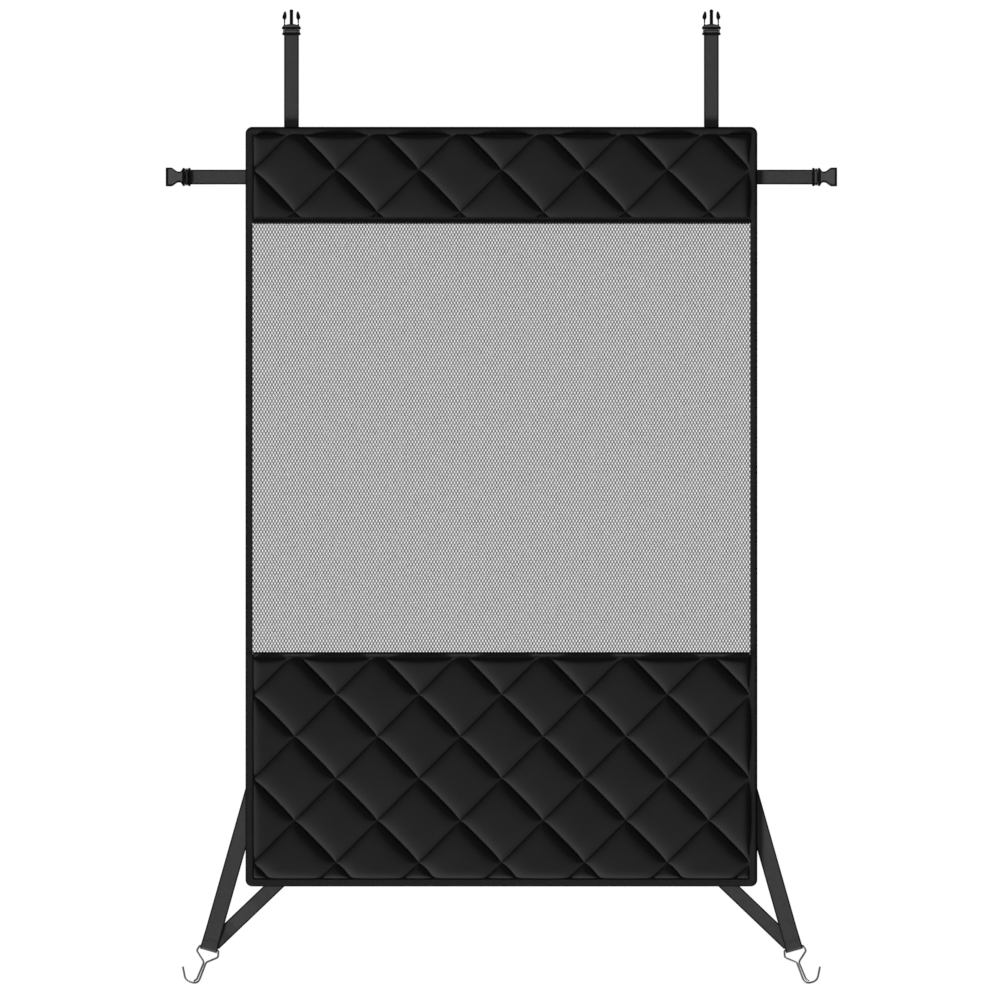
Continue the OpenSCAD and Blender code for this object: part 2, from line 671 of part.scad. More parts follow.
// Corners of the hook from its tip, across and down from the pivot: bowl, shank, bail round the
// webbing loop, second shank wire and its end laid on the bowl
hook_corners = [[-29.1, -35.7], [-19.8, -54], [-1.6, -54], [2.1, -20.9], [16.2, -9.6], [13.4, 0],
    [-13.4, 0], [-16.2, -8.2], [-2.7, -21.2], [-4.2, -47], [-8.2, -51.6]];
hook_bends = [0, 11.5, 11.5, 6, 3.5, 1.8, 1.8, 3.5, 6, 5, 0];

module wire_hook(side) {
    color(steel_color) sided(side) at_pivot(outer_lean) translate([0, loop_y, 0]) rotate([90, 0, 0])
        bent_wire(hook_corners, hook_bends, wire_d / 2);
}

net_window();
edge_binding();
upper_pad_cover();
upper_pad_wadding();
upper_pad_lining();
lower_pad_cover();
lower_pad_wadding();
lower_pad_lining();
upper_seam_tape_front();
upper_seam_tape_back();
lower_seam_tape_front();
lower_seam_tape_back();
for (s = LEFT_RIGHT) {
    top_strap_root(s);
    top_strap(s);
    top_strap_run(s);
    top_strap_fold(s);
    top_plug(s);
    outer_latch_arm(s);
    inner_latch_arm(s);
    side_strap_root(s);
    side_strap(s);
    side_strap_run(s);
    side_strap_fold(s);
    side_socket(s);
    outer_hook_strap_root(s);
    inner_hook_strap_root(s);
    outer_hook_strap(s);
    inner_hook_strap(s);
    wire_hook(s);
}
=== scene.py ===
import math

import bmesh
import bpy
import numpy as np
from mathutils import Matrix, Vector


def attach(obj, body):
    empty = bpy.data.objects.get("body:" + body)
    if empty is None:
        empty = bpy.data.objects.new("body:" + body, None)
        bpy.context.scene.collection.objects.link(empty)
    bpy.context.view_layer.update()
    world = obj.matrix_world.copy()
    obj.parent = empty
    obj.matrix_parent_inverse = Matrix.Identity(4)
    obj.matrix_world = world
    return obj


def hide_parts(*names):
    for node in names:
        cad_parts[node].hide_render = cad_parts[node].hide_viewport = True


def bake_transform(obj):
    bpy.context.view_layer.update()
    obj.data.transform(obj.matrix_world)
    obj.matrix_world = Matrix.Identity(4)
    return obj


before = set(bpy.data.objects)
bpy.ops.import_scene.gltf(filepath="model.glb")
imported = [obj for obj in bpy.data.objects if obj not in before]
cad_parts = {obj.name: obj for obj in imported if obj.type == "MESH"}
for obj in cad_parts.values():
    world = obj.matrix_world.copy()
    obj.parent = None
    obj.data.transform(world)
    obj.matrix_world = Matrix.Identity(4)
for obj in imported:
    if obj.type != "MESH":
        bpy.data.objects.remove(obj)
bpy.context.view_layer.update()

# ---- camera ----
# Square to the front of the panel and far off, with a long lens that draws it nearly in parallel.
# The picture takes in the panel and all its straps, straight as they are at rest.

FRAME_WIDTH = 1.430  # metres across the picture at the panel
LENS, SENSOR = 300, 36
CENTRE_X, CENTRE_Z = -0.0013, -0.5332
camera_data = bpy.data.cameras.new("camera")
camera_data.lens = LENS
camera_data.sensor_width = SENSOR
camera_data.clip_end = 60
camera = bpy.data.objects.new("camera", camera_data)
camera.location = (CENTRE_X, -FRAME_WIDTH * LENS / SENSOR, CENTRE_Z)
camera.rotation_euler = (math.pi / 2, 0, 0)
bpy.context.scene.collection.objects.link(camera)
bpy.context.scene.camera = camera

# ---- net window ----
# Warp-knitted polyester net with small staggered diamond holes, one panel stretched flat between the
# two seams and the side binding. Each of its slanting strands is a pair of yarns, one family in front.

MM = 0.001  # sizes are in millimetres from here on, and a piece turns its points to metres
NET_HALF_W, NET_TOP, NET_BOTTOM = 363.5, -134, -757
HOLES_ACROSS, NET_ROWS = 163, 160
YARN_R, YARNS_APART = 0.345, 1.15
YARN_SIDES = 6
YARN_LENGTH = 8  # rows of holes between two sections of a yarn


def linear(hex_colour):
    """sRGB hex to a linear RGBA colour."""
    parts = [int(hex_colour[k : k + 2], 16) / 255 for k in (1, 3, 5)]
    return [c / 12.92 if c <= 0.04045 else ((c + 0.055) / 1.055) ** 2.4 for c in parts] + [1]


def node(tree, kind, settings=None, inputs=None):
    """Adds a node: settings are its own properties, inputs are values or sockets to link."""
    made = tree.nodes.new(kind)
    for key, value in (settings or {}).items():
        setattr(made, key, value)
    for key, value in (inputs or {}).items():
        if isinstance(value, bpy.types.NodeSocket):
            tree.links.new(value, made.inputs[key])
        else:
            made.inputs[key].default_value = value
    return made


def surface(name, shader):
    """A new material whose Principled shader has the given plain values."""
    made = bpy.data.materials.new(name)
    made.use_nodes = True
    made.node_tree.nodes.clear()
    shading = node(made.node_tree, "ShaderNodeBsdfPrincipled", None, shader)
    node(made.node_tree, "ShaderNodeOutputMaterial", None, {"Surface": shading.outputs[0]})
    return made, made.node_tree, shading


def dress(tree, shader, share, low, high, height=None, strength=0.3, depth=0.3):
    """Colours a surface between two tones by a share, and forms its relief, depth in mm, from a height."""
    low, high = (linear(tone) if isinstance(tone, str) else tone for tone in (low, high))
    tone = node(tree, "ShaderNodeMix", {"data_type": "RGBA"}, {0: share, 6: low, 7: high})
    tree.links.new(tone.outputs[2], shader.inputs["Base Color"])
    if height is not None:
        relief = node(tree, "ShaderNodeBump", None, {"Strength": strength, "Distance": depth * MM, "Height": height})
        tree.links.new(relief.outputs[0], shader.inputs["Normal"])


def piece(name, points, faces, material, crease=50):
    """A mesh from points in millimetres, smooth but for edges sharper than the crease angle."""
    mesh = bpy.data.meshes.new(name)
    mesh.from_pydata((np.asarray(points, float) * MM).tolist(), [], [tuple(map(int, f)) for f in faces])
    closed = bmesh.new()
    closed.from_mesh(mesh)
    bmesh.ops.recalc_face_normals(closed, faces=closed.faces)
    closed.to_mesh(mesh)
    closed.free()
    mesh.polygons.foreach_set("use_smooth", [True] * len(mesh.polygons))
    mesh.set_sharp_from_angle(angle=math.radians(crease))
    mesh.materials.append(material)
    made = bpy.data.objects.new(name, mesh)
    bpy.context.scene.collection.objects.link(made)
    return made


def bar_faces(count, stations, closed=False):
    """Quads between the sections of a swept bar, with end faces unless it closes on itself."""
    faces = []
    for k in range(stations if closed else stations - 1):
        a, b = k * count, (k + 1) % stations * count
        faces += [(a + i, a + (i + 1) % count, b + (i + 1) % count, b + i) for i in range(count)]
    if not closed:
        last = (stations - 1) * count
        faces += [tuple(range(count - 1, -1, -1)), tuple(range(last, last + count))]
    return faces


# Knitted polyester yarn, dyed black: soft and dull, with the faint ribs of its loops, 0.7 mm each
net_yarn, tree, shader = surface("knitted polyester yarn", {"Roughness": 0.85, "Specular IOR Level": 0.04})
place = node(tree, "ShaderNodeTexCoord").outputs["Object"]
loops = node(tree, "ShaderNodeTexWave", {"bands_direction": "Z"}, {"Vector": place, "Scale": 450, "Distortion": 2})
dress(tree, shader, loops.outputs["Fac"], "#262627", "#39393a", loops.outputs["Fac"], depth=0.2)

pitch = 2 * NET_HALF_W / HOLES_ACROSS
row_drop = (NET_TOP - NET_BOTTOM) / NET_ROWS
for name, lean in (("net_strands_rising", 1), ("net_strands_falling", -1)):
    way = np.array([lean * pitch / 2, 0, -row_drop])
    way /= np.linalg.norm(way)
    side = np.array([way[2], 0, -way[0]])
    turns = np.arange(YARN_SIDES) * 2 * math.pi / YARN_SIDES
    ring = [YARN_R * (side * math.cos(q) + np.array([0, math.sin(q), 0])) for q in turns]
    points, faces = [], []
    for start in range(-NET_ROWS, 2 * HOLES_ACROSS + NET_ROWS + 1, 2):
        # rows between which this strand lies within the net's width
        rows = sorted((-start * lean, (2 * HOLES_ACROSS - start) * lean))
        first_row, last_row = max(rows[0], 0), min(rows[1], NET_ROWS)
        if last_row - first_row < 1:
            continue
        cuts = np.linspace(first_row, last_row, math.ceil((last_row - first_row) / YARN_LENGTH) + 1)
        middles = [np.array([(start + lean * r) * pitch / 2 - NET_HALF_W, -lean * YARN_R, NET_TOP - r * row_drop])
                   for r in cuts]
        for shift in (-YARNS_APART / 2, YARNS_APART / 2):
            faces += [tuple(i + len(points) for i in f) for f in bar_faces(YARN_SIDES, len(cuts))]
            points += [middle + side * shift + spoke for middle in middles for spoke in ring]
    strands = piece(name, points, faces, net_yarn, crease=70)
    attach(strands, "panel")
    if lean > 0:
        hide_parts("net_window")

# ---- quilted pads ----
# Two pads of black woven polyester over polyester wadding, quilted in diamonds and pressed flat at
# the edges, which the binding and the seam tapes take in. A thin lining closes the back.

HALF_W, INNER_HALF_W, PAD_HALF_W = 365, 355, 358  # to the panel's edge, the binding's inner edge, the pads' edge
HALF_DIAMOND_W, HALF_DIAMOND_H = INNER_HALF_W / 6, 60
LINES_APART = 1 / math.hypot(1 / HALF_DIAMOND_W, 1 / HALF_DIAMOND_H)  # half the spacing of parallel stitch lines
EDGE_Y = 1.5
PUFF_H, PUFF_RUN = 7.9, 8
GROOVE_D, GROOVE_W = 2.1, 2.0
PUCKER_D, PUCKER_REACH = 0.08, 5
EDGE_PRESS, EDGE_RUN, EDGE_FLAT = 0.92, 2.4, 1  # share pressed away at a bound edge, over what distance, from where
PADS = {  # visible top and bottom, a row of stitch crossings, tucked top and bottom, press and run at the bottom
    "upper": (-10, -128.8, -60.8, -7, -130.3, 0.35, 13),
    "lower": (-757.7, -1074, -1050.3, -756.2, -1077, EDGE_PRESS, EDGE_RUN),
}
LINING_Y, LINING_SWELL, LINING_TUCK = EDGE_Y - 0.6, 1.1, 0.35
LINING_STEPS = 10  # grid steps to half a diamond

# Plain-woven polyester, calendered: a dull black, clouded in patches of 70 mm, with a thread grid that is drawn
# 1.2 mm apart to show at all
cover_cloth, tree, shader = surface("woven polyester cover", {"Roughness": 0.7, "Specular IOR Level": 0.035})
place = node(tree, "ShaderNodeTexCoord").outputs["Object"]
warp, weft = (
    node(tree, "ShaderNodeTexWave", {"bands_direction": way},
         {"Vector": place, "Scale": 260, "Distortion": 1.2, "Detail": 1}).outputs["Fac"]
    for way in "XZ"
)
grid = node(tree, "ShaderNodeMath", {"operation": "MULTIPLY"}, {0: warp, 1: weft}).outputs[0]
cloud = node(tree, "ShaderNodeTexNoise", None, {"Vector": place, "Scale": 14, "Detail": 4}).outputs["Fac"]
mixed = node(tree, "ShaderNodeMath", {"operation": "MULTIPLY_ADD"}, {0: grid, 1: 0.4, 2: cloud})
dress(tree, shader, mixed.outputs[0], "#1b1b1b", "#222222", grid, strength=0.12)

# Spun-bonded lining: thin, matt, almost black, with a fleck of pressed dots 2.4 mm apart
lining_cloth, tree, shader = surface("spun-bonded lining", {"Roughness": 0.95, "Specular IOR Level": 0.05})
place = node(tree, "ShaderNodeTexCoord").outputs["Object"]
dots = node(tree, "ShaderNodeTexVoronoi", None, {"Vector": place, "Scale": 420}).outputs["Distance"]
dress(tree, shader, dots, "#161616", "#242424", dots)


def rise(away, run):
    """Share of its height that cloth has gained at a distance from where it is held down."""
    return 1 - np.exp(-away / run)


def quilt_lines(x, z, crossing_z):
    """Distance to, and place along, the nearest stitch line of each family."""
    u, v = x / HALF_DIAMOND_W, (z - crossing_z) / HALF_DIAMOND_H
    found = []
    for along, across in ((u - v, u + v), (u + v, u - v)):
        line = 2 * np.round(across / 2)
        found.append((np.abs(across - line) * LINES_APART, along * LINES_APART, line))
    return found


def from_edges(x, z, pad):
    """Distance inwards from the nearest edge of a pad's visible field."""
    return np.clip(np.minimum(np.minimum(INNER_HALF_W - np.abs(x), pad[0] - z), z - pad[1]), 0, None)


def quilt_height(x, z, pad):
    """Height of the quilting over the pressed edge: puffs between grooves, puckered along the stitches."""
    top, bottom, crossing_z = pad[:3]
    edges = ((INNER_HALF_W - np.abs(x), EDGE_PRESS, EDGE_RUN), (top - z, EDGE_PRESS, EDGE_RUN), (z - bottom, *pad[5:]))
    height = PUFF_H
    for away, press, run in edges:
        height = height * (1 - press * np.exp(-np.clip(away - EDGE_FLAT, 0, None) / run))
    pucker = groove = 0
    for away, along, line in quilt_lines(x, z, crossing_z):
        height = height * rise(away, PUFF_RUN)
        groove = np.maximum(groove, np.exp(-away / GROOVE_W))
        # about 10 mm from one pucker to the next, never quite even
        ripple = np.sin(along * 0.62 + line * 2.3 + 1.5 * np.sin(along * 0.17))
        pucker = pucker + np.exp(-away / PUCKER_REACH) * rise(away, 1.5) * ripple
    return height + (PUCKER_D * pucker - GROOVE_D * groove) * rise(from_edges(x, z, pad), 3)


def quilt_stations(low, high):
    """Grid places across a family of stitch lines, crowded where the cloth dips to each line."""
    near = [0, 0.5, 1.1, 1.9, 3, 4.4, 6.2]
    even = np.arange(near[-1] + 2.4, LINES_APART - 1, 2.4)
    half = np.concatenate((near, even, [LINES_APART])) / LINES_APART
    found = [line + sign * share for line in range(2 * math.floor(low / 2), 2 * math.ceil(high / 2) + 1, 2)
             for sign, shares in ((-1, half[:0:-1]), (1, half[:-1])) for share in shares]
    return np.array([s for s in found if low <= s <= high])


for which, pad in PADS.items():
    top, bottom, crossing_z, tuck_top, tuck_bottom = pad[:5]
    # a slanting grid whose lines run along the two families of stitch lines, trimmed to the pad
    reach_x = INNER_HALF_W / HALF_DIAMOND_W
    low_v, high_v = (bottom - crossing_z) / HALF_DIAMOND_H, (top - crossing_z) / HALF_DIAMOND_H
    rising = quilt_stations(-reach_x + low_v - 0.2, reach_x + high_v + 0.2)
    falling = quilt_stations(-reach_x - high_v - 0.2, reach_x - low_v + 0.2)
    p, q = np.meshgrid(rising, falling)
    x, z = (p + q) / 2 * HALF_DIAMOND_W, crossing_z + (p - q) / 2 * HALF_DIAMOND_H
    margin = 9  # kept round the field until it is trimmed
    near = (np.abs(x) < INNER_HALF_W + margin) & (z > bottom - margin) & (z < top + margin)
    wanted = near[:-1, :-1] & near[1:, :-1] & near[:-1, 1:] & near[1:, 1:]
    r, c = np.nonzero(wanted)
    columns = len(rising)
    corner = r * columns + c
    quads = np.stack([corner, corner + 1, corner + columns + 1, corner + columns], -1)
    used, places = np.unique(quads, return_inverse=True)
    sheet = bpy.data.meshes.new("sheet")
    flat = np.stack([x.ravel()[used], 0 * used, z.ravel()[used]], -1)
    sheet.from_pydata(flat.tolist(), [], places.reshape(-1, 4).tolist())
    quilt = bmesh.new()
    quilt.from_mesh(sheet)
    bpy.data.meshes.remove(sheet)
    # cut along lines near the edges, where the height changes fast, and trimmed at the last
    for inset in (4.5, 2.5, 1, 0):
        for at, outwards in (((INNER_HALF_W - inset, 0, 0), (1, 0, 0)), ((inset - INNER_HALF_W, 0, 0), (-1, 0, 0)),
                             ((0, 0, top - inset), (0, 0, 1)), ((0, 0, bottom + inset), (0, 0, -1))):
            bmesh.ops.bisect_plane(quilt, geom=quilt.verts[:] + quilt.edges[:] + quilt.faces[:], dist=0.01,
                                   plane_co=at, plane_no=outwards, clear_outer=inset == 0)
    co = np.array([v.co for v in quilt.verts])
    for v, y in zip(quilt.verts, -EDGE_Y - quilt_height(co[:, 0], co[:, 2], pad)):
        v.co.y = y
    # the drop to the pressed edge under the binding and the tape, and the flat back
    for stage in ("drop", "tuck", "back"):
        rim = [e for e in quilt.edges if e.is_boundary]
        grown = bmesh.ops.extrude_edge_only(quilt, edges=rim)["geom"]
        for v in {v for v in grown if isinstance(v, bmesh.types.BMVert)}:
            if stage != "tuck":
                v.co.y = LINING_Y - 0.1 if stage == "back" else -EDGE_Y - 0.2
                continue
            if abs(v.co.x) > INNER_HALF_W - 0.1:
                v.co.x = math.copysign(PAD_HALF_W, v.co.x)
            if v.co.z > top - 0.1 or v.co.z < bottom + 0.1:
                v.co.z = tuck_top if v.co.z > top - 0.1 else tuck_bottom
    bmesh.ops.contextual_create(quilt, geom=[e for e in quilt.edges if e.is_boundary])
    quilt.verts.index_update()
    quilt = piece(f"{which}_pad_quilt", [v.co for v in quilt.verts], [[v.index for v in f.verts] for f in quilt.faces],
                  cover_cloth, crease=60)
    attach(quilt, "panel")
    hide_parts(f"{which}_pad_cover", f"{which}_pad_wadding")

    # the lining swells a little in mid diamond: a grid of points in front, the same behind
    step_x, step_z = HALF_DIAMOND_W / LINING_STEPS, HALF_DIAMOND_H / LINING_STEPS
    half_columns = int(INNER_HALF_W / step_x + 0.5)
    xs = np.concatenate(([-PAD_HALF_W], np.arange(-half_columns, half_columns + 1) * step_x, [PAD_HALF_W]))
    low, high = math.ceil((bottom - crossing_z) / step_z), math.floor((top - crossing_z) / step_z)
    zs = np.concatenate(([tuck_bottom], crossing_z + np.arange(low, high + 1) * step_z, [tuck_top]))
    x, z = np.meshgrid(xs, zs)
    columns, rows = len(xs), len(zs)
    (one, _, _), (other, _, _) = quilt_lines(x, z, crossing_z)
    inside = from_edges(x, z, pad)
    swell = LINING_SWELL * rise(one, 3) * rise(other, 3) * rise(inside, 8)
    front = np.stack([x, 0 * x + LINING_Y, z], -1).reshape(-1, 3)
    back = np.stack([x, EDGE_Y + swell - LINING_TUCK * (inside <= 0), z], -1).reshape(-1, 3)
    shift = len(front)
    crease = (np.floor((x[:-1, :-1] + x[1:, 1:]) / 2 / HALF_DIAMOND_W)
              + np.floor(((z[:-1, :-1] + z[1:, 1:]) / 2 - crossing_z) / HALF_DIAMOND_H)) % 2 == 0
    faces = []
    for r in range(rows - 1):
        for c in range(columns - 1):
            a = r * columns + c
            b, d, e = a + 1, a + columns, a + columns + 1
            faces += [(a, b, e), (a, e, d)] if crease[r, c] else [(a, b, d), (b, e, d)]
    rim = list(range(columns - 1)) + [r * columns + columns - 1 for r in range(rows - 1)]
    rim += [(rows - 1) * columns + c for c in range(columns - 1, 0, -1)]
    rim += [r * columns for r in range(rows - 1, 0, -1)]
    sides = [(rim[k], rim[k - 1], rim[k - 1] + shift, rim[k] + shift) for k in range(len(rim))]
    lining = piece(f"{which}_pad_backing", np.concatenate([front, back]),
                   faces + [tuple(i + shift for i in f) for f in faces] + sides, lining_cloth)
    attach(lining, "panel")
    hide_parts(f"{which}_pad_lining")

# ---- quilting thread ----
# Bonded polyester thread, lockstitched through all layers along every line of diamonds,
# each stitch sunk a little into the cloth.

QUILT_THREAD_R, STITCH, STITCH_GAP = 0.28, 3, 1.2

# Bonded polyester thread: black with a slight gloss, its twist drawn about 1 mm long to show
thread, tree, shader = surface("bonded polyester thread", {"Roughness": 0.5, "Specular IOR Level": 0.25})
place = node(tree, "ShaderNodeTexCoord").outputs["Object"]
twist = node(tree, "ShaderNodeTexNoise", None, {"Vector": place, "Scale": 900})
dress(tree, shader, twist.outputs["Fac"], "#101010", "#1d1d1d")


def stitches(name, sewn, r, body):
    """Short threads, each (start, end, face): proud of the front, -1, or the back, 1, and dipping at both ends."""
    points, faces = [], []
    for a, b, face in sewn:
        a, b, out = np.array(a, float), np.array(b, float), np.array([0, face, 0])
        side = np.cross((b - a) / np.linalg.norm(b - a), out)
        faces += [tuple(len(points) + i for i in f) for f in bar_faces(4, 4)]
        # sections: the share of the way along, the lift and the size, in radii
        for t, lift, size in ((0, -0.9, 0.5), (0.2, 0.25, 1), (0.8, 0.25, 1), (1, -0.9, 0.5)):
            centre = a + (b - a) * t + out * lift * r
            points += [centre + size * r * (side * math.cos(q) + out * math.sin(q)) for q in np.arange(4) * math.pi / 2]
    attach(piece(name, points, faces, thread), body)


for which, pad in PADS.items():
    top, bottom, crossing_z = pad[:3]
    sewn = []
    slope = HALF_DIAMOND_H / HALF_DIAMOND_W
    step = (STITCH + STITCH_GAP) / math.hypot(1, slope)
    reach = int((top - bottom) / HALF_DIAMOND_H / 2) + 8  # lines that may cross the pad, to each side
    for lean in (1, -1):
        for line in range(-reach, reach + 1):
            x0 = line * 2 * HALF_DIAMOND_W
            for k in range(-400, 400):
                xa = x0 + k * step
                xb = xa + step * STITCH / (STITCH + STITCH_GAP)
                za, zb = (crossing_z + lean * slope * (x - x0) for x in (xa, xb))
                if max(abs(xa), abs(xb)) < INNER_HALF_W - 1 and bottom + 1 < min(za, zb) and max(za, zb) < top - 1:
                    ya, yb = (-EDGE_Y - float(quilt_height(np.array(x), np.array(z), pad))
                              for x, z in ((xa, za), (xb, zb)))
                    sewn += [((xa, ya, za), (xb, yb, zb), -1), ((xa, EDGE_Y, za), (xb, EDGE_Y, zb), 1)]
    stitches(f"{which}_quilting_thread", sewn, QUILT_THREAD_R, "panel")

# ---- seam tapes ----
# Strips of woven tape, one in front and one behind, that take in the net's edge and the pad's edge
# between them. In front the tape stops short of the net's last holes, which show dark over the back tape.

TAPE_T, TAPE_STATIONS = 0.8, 240
NET_CLEAR_Y = 0.62  # the inner side of each tape stays this far from the middle, clear of the net
SEAM_THREAD_R, SEAM_STITCH, SEAM_PITCH = 0.25, 2.9, 4
# painted light: tones of one tape for each place, the lower seam's raised where the pad shades it
TAPE_TONES_WITH_PAINTED_LIGHT = {"binding": ("#1b1b1b", "#262626"), "upper": ("#1e1e1e", "#2a2a2a"), "lower": ("#292929", "#373737")}
BACK_SIDE = [(2.2, 0), (2.75, 0.25), (2.85, 1.2), (2.6, 2.6), (1.7, 4.6), (1.45, 6)]
SEAMS = {  # pad end, net ends of the back and front tape, and the front tape's outer side: (y, from the pad end)
    "upper": (-128.8, -138, -137, [(2.3, 0), (2.35, 1.3), (2.65, 2.8), (3.1, 4.2), (3.7, 5.7), (4.6, 7.6)]),
    "lower": (-757.7, -749.7, -752.1, [(2.3, 0), (1.9, 0.8), (1.7, 1.8), (1.65, 3.4)]),
}

# Woven polyester tape, one copy toned for each place: dull black, its ribs too fine to show and drawn as a 3 mm mottle.
# The lower seam's copy is painted lighter: painted light in place of the light that the pad's shadow takes from it.
# The upper seam's copy is a little lighter than the binding's. Round the binding's outer fold and along its inner edge
# the colour is painted down to near black, painted shade where the tape turns away from the light: the attribute says
# how much
tapes = {}
for toned_place, (dark, light) in TAPE_TONES_WITH_PAINTED_LIGHT.items():
    tapes[toned_place], tree, shader = surface(f"woven polyester tape, {toned_place}", {"Roughness": 0.85, "Specular IOR Level": 0.03})
    place = node(tree, "ShaderNodeTexCoord").outputs["Object"]
    cloud = node(tree, "ShaderNodeTexNoise", None, {"Vector": place, "Scale": 300, "Detail": 3}).outputs["Fac"]
    tone = node(tree, "ShaderNodeMix", {"data_type": "RGBA"}, {0: cloud, 6: linear(dark), 7: linear(light)})
    # the attribute that says where the binding's colour is painted darker: painted shade
    folded = node(tree, "ShaderNodeAttribute", {"attribute_name": "folded"}).outputs["Fac"]
    dress(tree, shader, folded, tone.outputs[2], "#040404", cloud, strength=0.35)

for which, (pad_end, net_end, front_end, front_side) in SEAMS.items():
    way = 1 if net_end > pad_end else -1
    for face, y_sign, end, outer in (("front", -1, front_end, front_side), ("back", 1, net_end, BACK_SIDE)):
        span, last_y = abs(end - pad_end), outer[-1][0]
        outer = [p for p in outer if p[1] < span - 0.4] + [(last_y + 0.1, span - 0.1), (last_y - 0.1, span)]
        inner = [(NET_CLEAR_Y, span), (NET_CLEAR_Y, span - 0.5)]
        inner += [(max(y - TAPE_T, NET_CLEAR_Y), d) for y, d in reversed(outer[:-2])]
        section = outer + inner
        stations = np.linspace(-INNER_HALF_W + 0.2, INNER_HALF_W - 0.2, TAPE_STATIONS)
        points = [(x, y_sign * (y + 0.05 * math.sin(x * 0.31 + d)), pad_end + way * d)
                  for x in stations for y, d in section]
        tape = piece(f"{which}_seam_tape_{face}_cloth", points, bar_faces(len(section), len(stations)),
                     tapes[which])
        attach(tape, "panel")
        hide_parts(f"{which}_seam_tape_{face}")
        sewn = []
        for d in (1.6, span - 1.1):
            y = y_sign * float(np.interp(d, [p[1] for p in outer], [p[0] for p in outer]))
            for x in np.arange(-INNER_HALF_W + 3, INNER_HALF_W - 5, SEAM_PITCH):
                sewn.append(((x, y, pad_end + way * d), (x + SEAM_STITCH, y, pad_end + way * d), y_sign))
        stitches(f"{which}_seam_thread_{face}", sewn, SEAM_THREAD_R, "panel")

# ---- edge binding ----
# One length of woven tape folded over the edge all round, thick over the pads, pressed thin over the
# net, its corners turned in a small radius, sewn through with one row of lockstitch.

CORNER_R, BINDING_W, PANEL_H = 9, 10, 1084
PAD_HALF_T, NET_HALF_T = 3, 1.5
THIN_TOP, THIN_BOTTOM, THIN_RUN = -139.5, -748.5, 5  # thin between these heights, and full this far beyond them
STITCH_IN = 7.4  # the row of stitches, in from the outer edge
CORNER_STATIONS, STATIONS_APART = 9, 4


def binding_stations():
    """Places round the panel: a function of the distance inwards, and that place's outer point."""
    found = []
    r = CORNER_R
    corners = [(1, -1, -90), (1, 1, 0), (-1, 1, 90), (-1, -1, 180)]
    for k, (sx, sz, start) in enumerate(corners):
        cx = sx * (HALF_W - r)
        cz = -r if sz > 0 else -PANEL_H + r
        for q in np.linspace(start, start + 90, CORNER_STATIONS):
            found.append(("corner", cx, cz, math.cos(math.radians(q)), math.sin(math.radians(q)), sx, sz))
        nx, nz = corners[(k + 1) % 4][:2]
        ex = nx * (HALF_W - r)
        ez = -r if nz > 0 else -PANEL_H + r
        q = math.radians(start + 90)
        length = math.hypot(ex - cx, ez - cz)
        for t in np.linspace(0, 1, int(length / STATIONS_APART) + 1)[1:-1]:
            found.append(("run", cx + (ex - cx) * t, cz + (ez - cz) * t, math.cos(q), math.sin(q), 0, 0))
    return found


def inward(station, n):
    """The point n mm in from the outer edge at a station."""
    kind, cx, cz, c, s, sx, sz = station
    if kind == "run" or n <= CORNER_R:
        return cx + (CORNER_R - n) * c, cz + (CORNER_R - n) * s
    return cx - sx * (n - CORNER_R), cz - sz * (n - CORNER_R)


def on_pad(z):
    """Whether the binding is over a pad at a height: from 0 on the net to 1."""
    over = np.clip(np.array([z - THIN_TOP, THIN_BOTTOM - z]) / THIN_RUN, 0, 1).max()
    return over * over * (3 - 2 * over)


def half_thickness(z):
    """Half the binding's thickness at a height: thick over the pads, pressed thin over the net."""
    return NET_HALF_T + (PAD_HALF_T - NET_HALF_T) * on_pad(z)


stations = binding_stations()
points, fold_shades = [], []
travelled, before = 0, inward(stations[0], 0)
for station in stations:
    ox, oz = inward(station, 0)
    travelled += math.hypot(ox - before[0], oz - before[1])
    before = (ox, oz)
    t = half_thickness(oz) + 0.08 * math.sin(travelled * 0.13) + 0.05 * math.sin(travelled * 0.41)
    width = BINDING_W - 0.5 + 0.6 * on_pad(oz)
    outer = [(width, t - 0.25), (width - 0.25, t), (8, t), (STITCH_IN, t - 0.12), (6.8, t), (4.2, t + 0.1), (1.5, t),
             (0.1, t * 0.72), (-0.55, t * 0.34)]
    # how much each point of the section is painted towards near black: painted shade round the outer fold and at the
    # inner edge
    fold_shade_share = [0.5, 0.2, 0, 0, 0, 0, 0.5, 1, 1]
    inner = [(width - 0.1, t - TAPE_T), (2, t - TAPE_T), (0.4, t * 0.35)]
    section = outer + [(n, -y) for n, y in reversed(outer)]
    section += [(n, -y) for n, y in inner] + [(n, y) for n, y in reversed(inner)]
    for n, y in section:
        px, pz = inward(station, n)
        points.append((px, y, pz))
    fold_shades += fold_shade_share + fold_shade_share[::-1] + [1] * 2 * len(inner)
binding = piece("edge_binding_tape", points, bar_faces(len(section), len(stations), closed=True), tapes["binding"])
binding.data.attributes.new("folded", "FLOAT", "POINT").data.foreach_set("value", fold_shades)
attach(binding, "panel")
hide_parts("edge_binding")

line = [(*inward(s, STITCH_IN), half_thickness(inward(s, 0)[1]) - 0.02) for s in stations]
for y_sign, face in ((-1, "front"), (1, "back")):
    sewn = []
    for (xa, za, ya), (xb, zb, yb) in zip(line, line[1:] + line[:1]):
        apart = math.hypot(xb - xa, zb - za)
        share = SEAM_STITCH / max(apart, SEAM_STITCH)
        if apart >= 2.8:  # round the corners the stations are too close for a stitch each
            sewn.append(((xa, y_sign * ya, za), (xa + (xb - xa) * share, y_sign * yb, za + (zb - za) * share), y_sign))
    stitches(f"binding_thread_{face}", sewn, SEAM_THREAD_R, "panel")

# ---- webbing straps ----
# 20 mm polypropylene webbing, 21 mm over its selvedges and 1.3 mm thick, woven with lengthwise ribs.
# Each strap is sewn behind the binding, runs to its buckle, goes round the middle bar and hangs its tail.

